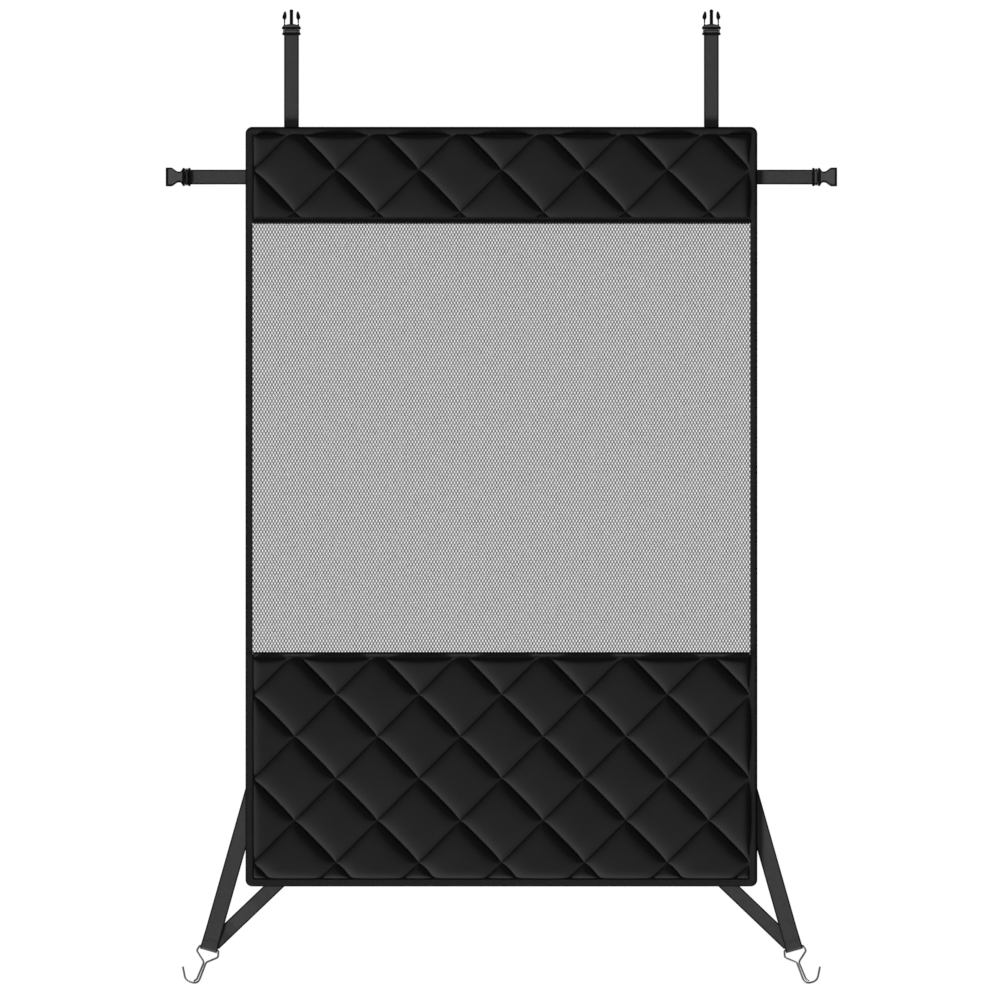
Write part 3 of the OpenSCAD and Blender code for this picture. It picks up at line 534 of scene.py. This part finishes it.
WEB_T, WEB_W = 1.3, 21.1
STRAP_Y, TAIL_Y, ROOT_Y = 3.75, 5.35, 2.25  # how far back the run, the tail and the sewn end lie
TOP_STRAP_X, TOP_PLUG_Z = 300, 131.4
SIDE_Z, SIDE_SOCKET_X = -71, 78.8
ROOT_START, RUN_START = -38, 39.6  # the sewn end and the hinged length's end, out from the panel's edge
RUN_LAP = 4  # the run starts this far back over the hinged length
PLUG_SLOT_W, SOCKET_SLOT_W, FRONT_SLOT_W, WRAP_Y = 4.95, 4.65, 7.6, -1.0
FRONT_Y = 2.6  # where the run ends and the tail starts, in the front slot
STRAP_THREAD_R, STRAP_STITCH_PITCH = 0.3, 3.8

# Woven polypropylene webbing: charcoal, clouded in patches of 8 mm, with lengthwise ribs 1 mm apart, picks 0.9 mm
# apart across them, and painted shade: near black within 2.8 mm of each edge, where the webbing rounds off.
# The attribute lay_mm is across, along, and in from the selvedge
webbing, tree, shader = surface("woven polypropylene webbing", {"Roughness": 0.7, "Specular IOR Level": 0.06})
lay = node(tree, "ShaderNodeAttribute", {"attribute_name": "lay_mm"}).outputs["Vector"]
ribs = node(tree, "ShaderNodeTexWave", {"bands_direction": "X"},
            {"Vector": lay, "Scale": 0.3, "Distortion": 1.5, "Detail": 2, "Detail Scale": 0.5}).outputs["Fac"]
picks = node(tree, "ShaderNodeTexWave", {"bands_direction": "Y"},
             {"Vector": lay, "Scale": 0.35, "Distortion": 0.8}).outputs["Fac"]
cloud = node(tree, "ShaderNodeTexNoise", None, {"Vector": lay, "Scale": 0.12, "Detail": 3}).outputs["Fac"]
tone = node(tree, "ShaderNodeMath", {"operation": "MULTIPLY_ADD"}, {0: ribs, 1: 0.5, 2: cloud}).outputs[0]
middle = node(tree, "ShaderNodeMix", {"data_type": "RGBA"}, {0: tone, 6: linear("#303030"), 7: linear("#3c3c3c")})
inset = node(tree, "ShaderNodeSeparateXYZ", None, {0: lay}).outputs["Z"]
# painted shade: the colour darkens to near black towards each edge
edge_shade = node(tree, "ShaderNodeMapRange", {"interpolation_type": "SMOOTHSTEP"},
                {0: inset, 1: 1.2, 2: 2.8, 3: 1, 4: 0})
weave = node(tree, "ShaderNodeMath", {"operation": "MULTIPLY_ADD"}, {0: picks, 1: 0.35, 2: ribs}).outputs[0]
dress(tree, shader, edge_shade.outputs[0], middle.outputs[2], "#101010", weave, strength=0.4)


def rounded(path, radius, gap=3.0, steps=6):
    """A path of (y, along) corners with rounded bends and points no further apart than gap."""
    path = [np.array(p, float) for p in path]
    found = [path[0]]
    for k in range(1, len(path) - 1):
        a, b = path[k] - path[k - 1], path[k + 1] - path[k]
        la, lb = np.linalg.norm(a), np.linalg.norm(b)
        a, b = a / la, b / lb
        turn = math.acos(np.clip(a @ b, -1, 1))
        r = radius[k] if hasattr(radius, "__len__") else radius
        cut = min(r * math.tan(turn / 2), la * 0.49, lb * 0.49)
        if turn < 0.01:
            found.append(path[k])
            continue
        for t in np.linspace(0, 1, steps + 1):
            # a quadratic curve between the two trimmed ends is close to the arc at these sizes
            found.append((1 - t) ** 2 * (path[k] - a * cut) + 2 * t * (1 - t) * path[k] + t * t * (path[k] + b * cut))
    found.append(path[-1])
    dense = [found[0]]
    for a, b in zip(found, found[1:]):
        n = max(1, math.ceil(np.linalg.norm(b - a) / gap))
        dense += [a + (b - a) * t / n for t in range(1, n + 1) if np.linalg.norm(b - a) > 1e-6]
    return np.array(dense)


def on_side(points, side):
    """Points laid out for the left side, mirrored for the right one."""
    return np.array(points, float) * (1 if side == "left" else -1, 1, 1)


def strap(name, path, width, where, side, slant=None, laid=0, thick=WEB_T):
    """Webbing that follows a path of (y, along), placed by where(across, y, along)."""
    d = np.gradient(path, axis=0)
    d /= np.linalg.norm(d, axis=1)[:, None]
    normals = np.stack([d[:, 1], -d[:, 0]], -1)
    half = width / 2
    # the section: distance from the middle and half thickness
    profile = [(-half, 0.12), (-half + 0.25, 0.5), (-half + 1.1, 0.66), (-half + 2.2, 0.6), (-half * 0.5, 0.64),
               (0, 0.65)]
    profile += [(-u, t) for u, t in reversed(profile[:-1])]
    section = profile + [(u, -t) for u, t in reversed(profile)]
    points, lay = [], []
    run = np.concatenate([[0], np.cumsum(np.linalg.norm(np.diff(path, axis=0), axis=1))])
    for (y, along), normal, travelled in zip(path, normals, run):
        for u, t in section:
            a = along + normal[1] * t * thick / WEB_T
            if slant is not None:
                a += slant(u, along)
            points.append(where(u, y + normal[0] * t * thick / WEB_T, a))
            lay.append((u, laid + travelled, half - abs(u)))
    made = piece(name, on_side(points, side), bar_faces(len(section), len(path)), webbing)
    attribute = made.data.attributes.new("lay_mm", "FLOAT_VECTOR", "POINT")
    attribute.data.foreach_set("vector", np.array(lay, np.float32).ravel())
    return made


def at_top(offset):
    """Where a point (across, y, along) of a left top strap lies, along counting from an offset."""
    return lambda u, y, a: (-TOP_STRAP_X + u, y, offset + a)


def at_side(offset):
    """The same for a left side strap."""
    return lambda u, y, a: (-HALF_W - offset - a, y, SIDE_Z + u)


def bend_ends(where, near, far, side):
    """Two places, in metres, on a strap's middle line at two distances along it."""
    return (on_side([where(0, STRAP_Y, a) for a in (near, far)], side) * MM).tolist()


root_path = rounded([(ROOT_Y, ROOT_START), (ROOT_Y, -15), (STRAP_Y, -10), (STRAP_Y, RUN_START)], 6, gap=1.5)
for side in ("left", "right"):
    for strap_name, where, buckle, reach, rear_slot, tail in (
        ("top_strap", at_top, "top_buckle", TOP_PLUG_Z, PLUG_SLOT_W, 45),
        ("side_strap", at_side, "side_buckle", SIDE_SOCKET_X, SOCKET_SLOT_W, 34),
    ):
        first = strap(f"{strap_name}_sewn_length_{side}", root_path, WEB_W, where(0), side)
        start, end = bend_ends(where(0), 1.5, 11.5, side)
        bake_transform(first)
        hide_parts(f"{strap_name}_root_{side}", f"{strap_name}_{side}")

        run_path = [(STRAP_Y, RUN_START - RUN_LAP - reach), (STRAP_Y, rear_slot), (WRAP_Y, rear_slot),
                    (WRAP_Y, FRONT_SLOT_W), (FRONT_Y, FRONT_SLOT_W)]
        run = strap(f"{strap_name}_run_webbing_{side}", rounded(run_path, 0.9, gap=2.5), WEB_W, where(reach), side,
                    laid=RUN_START - RUN_LAP - ROOT_START, thick=WEB_T - 0.06)
        start, end = bend_ends(where(0), RUN_START + 0.2, reach - 0.6, side)
        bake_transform(run)
        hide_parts(f"{strap_name}_run_{side}")

        tail_path = rounded([(FRONT_Y, FRONT_SLOT_W), (TAIL_Y, FRONT_SLOT_W), (TAIL_Y, -tail)], 0.9, gap=2.5)
        end_piece = strap(f"{strap_name}_tail_{side}", tail_path, WEB_W, where(reach), side)
        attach(end_piece, f"{buckle}_{side}_body")
        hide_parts(f"{strap_name}_fold_{side}")


def sewn_line(corners, where, y, side, face=1):
    """Stitches on a strap along a line of (across, along) corners, on its back, 1, or its front, -1."""
    sewn = []
    for (ua, aa), (ub, ab) in zip(corners, corners[1:]):
        count = max(1, round(math.hypot(ub - ua, ab - aa) / STRAP_STITCH_PITCH))
        for k in range(count):
            shares = (k / count, (k + 0.75) / count)
            pair = [where(ua + (ub - ua) * w, y, aa + (ab - aa) * w) for w in shares]
            sewn.append((*on_side(pair, side), face))
    return sewn


SEWN_BOX = [(-8, -36), (8, -36), (8, -18), (-8, -18), (-8, -36), (8, -18), (8, -36), (-8, -18)]
for side in ("left", "right"):
    sewn = [stitch for where in (at_top(0), at_side(0))
            for stitch in sewn_line(SEWN_BOX, where, ROOT_Y + WEB_T / 2, side)]
    stitches(f"strap_thread_{side}", sewn, STRAP_THREAD_R, "panel")

# ---- buckles ----
# Side-release buckles for 20 mm webbing, moulded in acetal. The plugs hang from the top straps with
# their prongs up, the sockets sit on the side straps with their mouths outwards.

BUCKLE_Y = 0.75
BAR_T, BAR_BACK = 2.4, 1
MIDDLE_AT, MIDDLE_DEPTH, MIDDLE_T = 6.28, 1.25, 1.6
BODY_START, RAIL_IN = 8.8, 10.9
PLUG_LEN, ARM_U, ARM_ROOT, ARM_T = 16.2, 9.8, 17.9, 4.6
SOCKET_LEN, SOCKET_T, SOCKET_WALL, SOCKET_FLOOR = 35.6, 9, 1.4, 12.4
WINDOW_START, WINDOW_END = 13.3, 22.6
FIELD_START, FIELD_END = 12, 32.5  # the dented field on each broad face of the socket
SOCKET_SIDE = [  # (along, half width): a straight neck, a waist and a wide mouth
    (0, 12.7), (11.6, 12.7), (13.4, 8.8), (14.8, 7.8), (18.6, 7.8), (20.4, 8.7), (25.4, 12.5), (27.2, 13.4), (40, 13.4)
]

# Moulded acetal off a polished tool, on the bars, the rims and the prongs: near black, with faint flow marks of 6 mm
polished_acetal, tree, shader = surface(
    "polished acetal", {"Roughness": 0.3, "IOR": 1.48, "Specular IOR Level": 0.05}
)
place = node(tree, "ShaderNodeTexCoord").outputs["Object"]
flow = node(tree, "ShaderNodeTexNoise", None, {"Vector": place, "Scale": 180, "Detail": 2}).outputs["Fac"]
dress(tree, shader, flow, "#050505", "#0c0c0c", flow, strength=0.05, depth=0.2)

# The same acetal off a spark-eroded tool, on the broad faces, its pits drawn 1 mm apart to show: its grey is painted
# sheen, for the light that such a pitted face scatters, and on the plug's shoulder a painted highlight along the dome
eroded_acetal_painted_sheen, tree, shader = surface(
    "spark-eroded acetal with painted sheen", {"Roughness": 0.6, "IOR": 1.48, "Specular IOR Level": 0.15}
)
place = node(tree, "ShaderNodeTexCoord").outputs["Object"]
pits = node(tree, "ShaderNodeTexNoise", None, {"Vector": place, "Scale": 900, "Detail": 3}).outputs["Fac"]
dress(tree, shader, pits, "#353536", "#4c4c4d", pits, strength=0.4)


def shell(moulding, rings, finish, faces=None):
    """Adds a closed skin over rings of (across, y from the middle, along) to a moulding."""
    first = len(moulding["points"])
    moulding["points"] += [p for ring in rings for p in ring]
    faces = bar_faces(len(rings[0]), len(rings)) if faces is None else faces
    moulding["faces"] += [tuple(i + first for i in f) for f in faces]
    moulding["finish"] += [finish] * len(faces)


def superellipse(size, half, q, wave):
    """One coordinate of a rod's squarish section."""
    return size * half * math.copysign(abs(wave(q)) ** 0.75, wave(q))


def rod(moulding, half_length, middle, depth, thickness, back=0):
    """A bar across the buckle with rounded edges and ends, set back by an amount."""
    rings = []
    for side, shares in ((-1, (0, 0.12, 0.45, 1)), (1, (1, 0.45, 0.12, 0))):
        for share in shares:
            size = 0.35 + 0.65 * math.sqrt(1 - (1 - share) ** 2)
            u = side * (half_length - share * depth / 2)
            rings.append([(u, back + superellipse(size, thickness / 2, q, math.sin),
                           middle + superellipse(size, depth / 2, q, math.cos)) for q in np.arange(16) * math.pi / 8])
    shell(moulding, rings, 0)


def prism(moulding, outline, thickness, bevel, finish=0):
    """A flat moulding of the given outline (across, along) with bevelled edges."""
    outline = np.array(outline, float)
    before, after = np.roll(outline, 1, 0) - outline, np.roll(outline, -1, 0) - outline
    before /= np.linalg.norm(before, axis=1)[:, None]
    after /= np.linalg.norm(after, axis=1)[:, None]
    turned = np.stack([after[:, 1], -after[:, 0]], -1) + np.stack([-before[:, 1], before[:, 0]], -1)
    turned /= np.linalg.norm(turned, axis=1)[:, None]
    area = np.sum(outline[:, 0] * np.roll(outline[:, 1], -1) - outline[:, 1] * np.roll(outline[:, 0], -1))
    inwards = -turned * (1 if area > 0 else -1)
    half = thickness / 2
    rings = []
    for y, inset in ((-half, bevel), (-half + 0.3 * bevel, 0.3 * bevel), (-half + bevel, 0), (half - bevel, 0),
                     (half - 0.3 * bevel, 0.3 * bevel), (half, bevel)):
        rings.append([(u, y, a) for u, a in outline + inwards * inset])
    shell(moulding, rings, finish)


def ladder(moulding, bar_half, bar_depth, rail_out):
    """The bars that hold the webbing: rear bar, middle bar and the two rails."""
    rod(moulding, bar_half, bar_depth / 2, bar_depth, BAR_T, BAR_BACK)
    rod(moulding, RAIL_IN + 0.5, MIDDLE_AT, MIDDLE_DEPTH, MIDDLE_T)
    for way in (-1, 1):
        rail = [(RAIL_IN, 1.5), (rail_out, 1.5), (rail_out, BODY_START + 1), (RAIL_IN, BODY_START + 1)]
        prism(moulding, [(way * u, a) for u, a in rail], BAR_T, 0.25)


def mould(name, moulding, where, side, body, node_name):
    """The finished moulding: a piece in its two finishes, riding on its body."""
    points = on_side([where(u, BUCKLE_Y + y, a) for u, y, a in moulding["points"]], side)
    made = piece(name, points, moulding["faces"], polished_acetal, crease=38)
    made.data.materials.append(eroded_acetal_painted_sheen)
    made.data.polygons.foreach_set("material_index", moulding["finish"])
    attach(made, body)
    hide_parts(node_name)


def socket_half_width(a):
    """Half the socket's width: drawn in to a waist between neck and mouth, its corners rounded."""
    return float(np.mean(np.interp(a + np.linspace(-1, 1, 7), *zip(*SOCKET_SIDE))))


def socket_ring(half_w, a, thickness, round_r, dent):
    """A section of the socket: broad faces with a dented field between two rims, rounded corners."""
    ring = []
    for face in (-1, 1):
        for u in (-half_w + 1.9, -half_w + 2.3, -half_w / 2, 0, half_w / 2, half_w - 2.3, half_w - 1.9):
            field = dent if abs(u) < half_w - 2 else 0
            ring.append((-face * u, face * (thickness / 2 - field), a))
        for way, turns in ((1, np.linspace(90, 0, 4)), (-1, np.linspace(0, 90, 4))):
            for q in np.radians(turns):
                ring.append((-face * (half_w - round_r + round_r * math.cos(q)),
                             way * face * (thickness / 2 - round_r + round_r * math.sin(q)), a))
    return ring


# the plug: ladder, grip bar, shoulder with a grey field that is a painted highlight, ribbed tongue and a post for each
# latch arm
plug = {"points": [], "faces": [], "finish": []}
ladder(plug, 13.2, 4.2, 12)
rod(plug, 13.6, 10.2, 3.8, 6.2)
crown = [(-13, 10.2), (-13.3, 11.2), (-12.7, 12.5), (-11.2, 13.7), (-8.8, 14.8), (-5.5, 15.7), (-2.5, 16.1)]
prism(plug, crown + [(0, PLUG_LEN)] + [(-u, a) for u, a in reversed(crown)], 5.6, 0.9)
# painted highlight: the grey field along the shoulder's crown, where its dome would catch the light
field = [(-11, 12)] + [(0.88 * u, 11.9 + 0.8 * (a - 11.6)) for u, a in crown[2:]]
prism(plug, field + [(0, 15.5)] + [(-u, a) for u, a in reversed(field)], 5.9, 0.25, finish=1)
tongue = []
for a, half_w, rib in (  # along, half width and the rib's half thickness
    (14.5, 2.7, 2.3), (17, 2.4, 2.3), (26, 2.4, 2.3), (33, 2.4, 2.2), (34.2, 2.7, 1.5), (35.6, 2.6, 1.2),
    (36.6, 1.7, 1.1), (37.1, 0.4, 0.8),
):
    flat = min(1.2, rib)
    quarter = [(half_w, 0.5 * flat), (0.85 * half_w, flat), (min(0.75, 0.6 * half_w), flat),
               (min(0.6, 0.5 * half_w), rib)]
    right = [(u, -y) for u, y in quarter] + [(u, y) for u, y in reversed(quarter)]
    tongue.append([(u, y, a) for u, y in right] + [(-u, -y, a) for u, y in right])
shell(plug, tongue, 0)
for way in (-1, 1):
    post = [(ARM_U - 1.3, 13.4), (ARM_U + 1.3, 13.4), (ARM_U + 0.9, ARM_ROOT - 1.2), (ARM_U - 0.9, ARM_ROOT - 1.2)]
    prism(plug, [(way * u, a) for u, a in post], ARM_T, 0.25)

# a latch arm's outline from its flexing root: thin stem, barbed head, rounded tip
ARM_HEAD = [
    (0.9, 0), (0.9, 4.2), (1.8, 5.2), (3, 6.8), (3.2, 7.9), (2.5, 10.4), (1.4, 13.4), (0.7, 15.2), (-0.2, 16.2),
    (-1.3, 16.1), (-2.3, 14.8), (-2.8, 12), (-2.9, 8.6), (-2.7, 7), (-1.8, 5.2), (-0.9, 4.2), (-0.9, 0),
    (-0.6, -0.7), (0, -0.9), (0.6, -0.7),
]

# the socket's skin, outside and then inside, with a window through each side
socket = {"points": [], "faces": [], "finish": []}
ladder(socket, 13.1, 3.9, 12)
rod(socket, 13.1, 10.1, 3.7, 7.6)
places = [BODY_START, 9.1, 9.8, 10.6, 11.6, 12.5, 13.2, *np.arange(14.2, 26, 0.9), 26.1, 26.7, 27.6, 29.5, 31.6, 32.3,
          32.7, 34.4, 35.2, SOCKET_LEN]
outer = []
for a in places:
    inset = max(0, 0.45 - min(a - BODY_START, SOCKET_LEN - a))
    waist = 0.6 * math.exp(-(((a - 17.5) / 6) ** 2))
    dent = 0.4 if FIELD_START < a < FIELD_END else 0
    outer.append(socket_ring(socket_half_width(a) - inset, a, SOCKET_T - waist - 2 * inset, 1.7, dent))
inner = [socket_ring(socket_half_width(a) - SOCKET_WALL, a, SOCKET_T - 2 * SOCKET_WALL, 0.9, 0)
         for a in places if a > SOCKET_FLOOR]
count, skipped = len(outer[0]), len(outer) - len(inner)
side_columns = (10, 25)  # the quads between a side's two corners
faces, fields = [], []
for k in range(len(outer) - 1):
    window = WINDOW_START < places[k] < WINDOW_END
    for i in range(count):
        j = (i + 1) % count
        a, b = k * count, (k + 1) * count
        c, d = (len(outer) + k - skipped) * count, (len(outer) + k + 1 - skipped) * count
        if window and i in side_columns:
            faces += [(a + i, b + i, d + i, c + i), (a + j, b + j, d + j, c + j)]
            fields += [0, 0]
            if not WINDOW_START < places[k - 1]:
                faces.append((a + i, a + j, c + j, c + i))
                fields.append(0)
            if not places[k + 1] < WINDOW_END:
                faces.append((b + i, b + j, d + j, d + i))
                fields.append(0)
            continue
        faces.append((a + i, a + j, b + j, b + i))
        on_field = i % (count // 2) in (1, 2, 3, 4) and FIELD_START < places[k] and places[k + 1] < FIELD_END
        fields.append(int(on_field))
        if k >= skipped:
            faces.append((c + i, c + j, d + j, d + i))
            fields.append(0)
last, last_in = (len(outer) - 1) * count, (len(outer) + len(inner) - 1) * count
faces += [(last + i, last + (i + 1) % count, last_in + (i + 1) % count, last_in + i) for i in range(count)]
floor_in = len(outer) * count
faces += [tuple(range(count)), tuple(range(floor_in, floor_in + count))]
fields += [0] * (count + 2)
shell(socket, outer + inner, 0, faces)
socket["finish"][-len(faces):] = fields

for side in ("left", "right"):
    mould(f"moulded_plug_{side}", plug, at_top(TOP_PLUG_Z), side, f"top_buckle_{side}_body", f"top_plug_{side}")
    mould(f"moulded_socket_{side}", socket, at_side(SIDE_SOCKET_X), side, f"side_buckle_{side}_body",
          f"side_socket_{side}")
    for which, way in (("outer", -1), ("inner", 1)):
        arm = {"points": [], "faces": [], "finish": []}
        prism(arm, [(way * (ARM_U + u), ARM_ROOT + a) for u, a in ARM_HEAD], ARM_T, 0.35)
        mould(f"{which}_latch_prong_{side}", arm, at_top(TOP_PLUG_Z), side, f"{which}_latch_{side}_body",
              f"{which}_latch_arm_{side}")

# ---- hook straps ----
# At each lower corner two webbings meet in a V: a 23.4 mm one from the side edge, folded round the
# hook's wire and sewn back on itself, and the 20 mm one from the bottom edge, sewn behind it.

PIVOT = (-417.6, -1172.9)  # the left hook's bail, in x and z
OUTER_LEAN, INNER_LEAN = math.radians(15.8), math.radians(46.3)
HOOK_WEB_W = 24.1
FOLD_REACH = 98.64  # from the bail up to the line that the V folds along
WIRE_R, WIRE_ROOM = 1.4, 0.2
LOOP_R = WIRE_R + WIRE_ROOM + WEB_T / 2
LOOP_Y = STRAP_Y + LOOP_R
SLACK = 1.65  # the loop hangs this much lower than a tight one
INNER_Y = STRAP_Y + WEB_T + 0.1
TURN_Y = INNER_Y + WEB_T + 0.15
SAG_Y = INNER_Y + 1.6
INNER_END = 3
SPREAD, SPREAD_REACH = 0.04, 28  # the outer webbing widens by this share towards the wire, over this distance
INNER_CUT = 0.589  # slope of the inner webbing's slanting end


def at_pivot(lean):
    """Where a point of a left hook strap lies: along counts upwards from the wire's bail."""
    c, s = math.cos(lean), math.sin(lean)
    return lambda u, y, a: (PIVOT[0] + u * c + a * s, y, PIVOT[1] - u * s + a * c)


def at_outer(u, y, a):
    """The same for the outer webbing, which spreads a little towards the wire."""
    return at_pivot(OUTER_LEAN)((u - 0.3) * (1 + SPREAD * max(0, 1 - abs(a) / SPREAD_REACH)), y, a)


loop = [(LOOP_Y + LOOP_R * math.cos(q), SLACK * LOOP_R * math.sin(q)) for q in np.linspace(math.pi, 2 * math.pi, 13)]
outer_path = np.concatenate([
    rounded([(STRAP_Y, FOLD_REACH + 152), (STRAP_Y, 0.6)], 1, gap=3),
    loop,
    rounded([(LOOP_Y + LOOP_R, 1.2), (TURN_Y, 6.5), (TURN_Y, 16)], 3, gap=2),
])
inner_path = [(STRAP_Y, FOLD_REACH + 62), (STRAP_Y, 90), (SAG_Y, 48), (SAG_Y, 34), (INNER_Y, 18), (INNER_Y, INNER_END)]
inner_path = rounded(inner_path, 60, gap=3)
for side in ("left", "right"):
    start, end = bend_ends(at_pivot((OUTER_LEAN + INNER_LEAN) / 2), FOLD_REACH + 6, FOLD_REACH - 6, side)
    outer = strap(f"outer_hook_webbing_{side}", outer_path, HOOK_WEB_W, at_outer, side)
    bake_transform(outer)
    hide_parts(f"outer_hook_strap_root_{side}", f"outer_hook_strap_{side}")
    inner = strap(f"inner_hook_webbing_{side}", inner_path, WEB_W, at_pivot(INNER_LEAN), side,
                  slant=lambda u, a: INNER_CUT * u * max(0, 1 - (a - INNER_END) / 30))
    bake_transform(inner)
    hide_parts(f"inner_hook_strap_root_{side}", f"inner_hook_strap_{side}")

    # a box and a cross behind the panel on each sewn length, and two rows below the turned-back end
    sewn = []
    for lean, half, last in ((OUTER_LEAN, 9, 144), (INNER_LEAN, 8, 56)):
        a, b = FOLD_REACH + 24, FOLD_REACH + last
        box = [(-half, b), (half, b), (half, a), (-half, a), (-half, b), (half, b - 18), (half, b), (-half, b - 18)]
        sewn += sewn_line(box, at_pivot(lean), STRAP_Y + WEB_T / 2, side)
    stitches(f"hook_strap_thread_{side}", sewn, STRAP_THREAD_R, "panel")
    sewn = []
    for y, face in ((STRAP_Y - WEB_T / 2, -1), (TURN_Y + WEB_T / 2, 1)):
        for a in (9.5, 12.5):
            sewn += sewn_line([(-10.5, a), (10.5, a)], at_pivot(OUTER_LEAN), y, side, face)
    stitches(f"hook_loop_thread_{side}", sewn, STRAP_THREAD_R, f"hook_strap_{side}_body")

# ---- wire hooks ----
# Each hook is one length of 2.8 mm spring steel wire, bent cold: bowl, shank, a bail through the
# webbing's loop, a second shank wire and its end laid on the bowl. Zinc plated.

HOOK_CORNERS = [  # across and up from the bail: tip, bowl, shank, bail, second shank, end
    (-29.1, -35.7), (-19.8, -54), (-1.6, -54), (1.3, -20.9), (15.8, -9.4), (13.6, 0), (-13.8, 0), (-16.4, -8.2),
    (-1.7, -21.2), (-4.8, -47), (-8.2, -51.6),
]
HOOK_BENDS = [0, 11.5, 11.5, 6, 4.5, 2, 2, 4.5, 6, 5, 0]
WIRE_SIDES = 14

# Zinc-plated steel wire: mid grey and dull, with a bloom in patches of 4 mm
steel, tree, shader = surface("zinc-plated steel wire", {"Metallic": 1, "Roughness": 0.5})
place = node(tree, "ShaderNodeTexCoord").outputs["Object"]
bloom = node(tree, "ShaderNodeTexNoise", None, {"Vector": place, "Scale": 260, "Detail": 4})
dress(tree, shader, bloom.outputs["Fac"], "#484848", "#646464")

line = rounded(HOOK_CORNERS, HOOK_BENDS, gap=2, steps=10)
ways = np.gradient(line, axis=0)
ways /= np.linalg.norm(ways, axis=1)[:, None]
points = []
past_bail = False
for (across, up), (dx, dz) in zip(line, ways):
    past_bail = past_bail or (up > -9 and across < -16)
    # past the bail the second wire comes forward, so that its end lies on the bowl
    forward = 2 * WIRE_R * min(1, max(0, -up - 24) / 20) if past_bail else 0
    for q in np.arange(WIRE_SIDES) * 2 * math.pi / WIRE_SIDES:
        out, deep = WIRE_R * math.cos(q), WIRE_R * math.sin(q) - forward
        points.append(at_pivot(OUTER_LEAN)(across - dz * out, LOOP_Y + deep, up + dx * out))
for side in ("left", "right"):
    hook = piece(f"bent_wire_hook_{side}", on_side(points, side), bar_faces(WIRE_SIDES, len(line)), steel)
    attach(hook, f"wire_hook_{side}_body")
    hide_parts(f"wire_hook_{side}")

# ---- studio ----
# A pale floor some way under the hanging panel, a soft grazing key light from the lower left that
# models the quilting, a weak fill in front and a soft light behind.

FLOOR_Z, FLOOR_R = -1.52, 3.4
AMBIENT = 0.14  # what the white backdrop adds to the light on the object
bm = bmesh.new()
bmesh.ops.create_circle(bm, cap_ends=True, segments=96, radius=FLOOR_R)
floor_mesh = bpy.data.meshes.new("floor")
bm.to_mesh(floor_mesh)
bm.free()
floor = bpy.data.objects.new("floor", floor_mesh)
floor.location = (0, 0, FLOOR_Z)
floor.visible_shadow = False
bpy.context.scene.collection.objects.link(floor)


def backdrop_strength(tree):
    """Full strength where the camera, a gloss or a glass sees the white backdrop, and weak as light on the object."""
    rays = node(tree, "ShaderNodeLightPath").outputs
    seen = rays["Is Camera Ray"]
    for kind in ("Is Glossy Ray", "Is Transmission Ray"):
        seen = node(tree, "ShaderNodeMath", {"operation": "MAXIMUM"}, {0: seen, 1: rays[kind]}).outputs[0]
    return node(tree, "ShaderNodeMapRange", None, {0: seen, 1: 0, 2: 1, 3: AMBIENT, 4: 1}).outputs[0]


# Matt white studio floor, lit a little from below, that runs out into the white backdrop
studio_floor = bpy.data.materials.new("matt white studio floor")
studio_floor.use_nodes = True
tree = studio_floor.node_tree
tree.nodes.clear()
place = node(tree, "ShaderNodeTexCoord").outputs["Object"]
away = node(tree, "ShaderNodeVectorMath", {"operation": "LENGTH"}, {0: place}).outputs["Value"]
fade = node(tree, "ShaderNodeMapRange", {"interpolation_type": "SMOOTHSTEP"}, {0: away, 1: 0.7, 2: 3.0, 3: 0.5, 4: 1})
painted = node(tree, "ShaderNodeBsdfDiffuse", None, {"Color": linear("#f2f2f2")})
white = node(tree, "ShaderNodeEmission", None, {"Color": (1, 1, 1, 1), "Strength": backdrop_strength(tree)})
both = node(tree, "ShaderNodeMixShader", None, {0: fade.outputs[0], 1: painted.outputs[0], 2: white.outputs[0]})
node(tree, "ShaderNodeOutputMaterial", None, {"Surface": both.outputs[0]})
floor_mesh.materials.append(studio_floor)

for name, strength, angle, towards in (
    ("key", 8.0, 12, (-0.55, -0.309, -0.776)),
    ("fill", 0.25, 40, (0.2, -0.95, 0.35)),
    ("back", 2.0, 30, (0.35, 0.75, 0.55)),
):
    sun = bpy.data.lights.new(name, "SUN")
    sun.energy = strength
    sun.angle = math.radians(angle)
    lamp = bpy.data.objects.new(name, sun)
    lamp.rotation_euler = Vector(towards).to_track_quat("Z", "Y").to_euler()
    bpy.context.scene.collection.objects.link(lamp)

world = bpy.data.worlds.new("studio")
bpy.context.scene.world = world
world.use_nodes = True
tree = world.node_tree
tree.nodes.clear()
sky = node(tree, "ShaderNodeBackground", None, {"Color": (1, 1, 1, 1), "Strength": backdrop_strength(tree)})
node(tree, "ShaderNodeOutputWorld", None, {"Surface": sky.outputs[0]})

bpy.context.scene.view_settings.view_transform = "Standard"
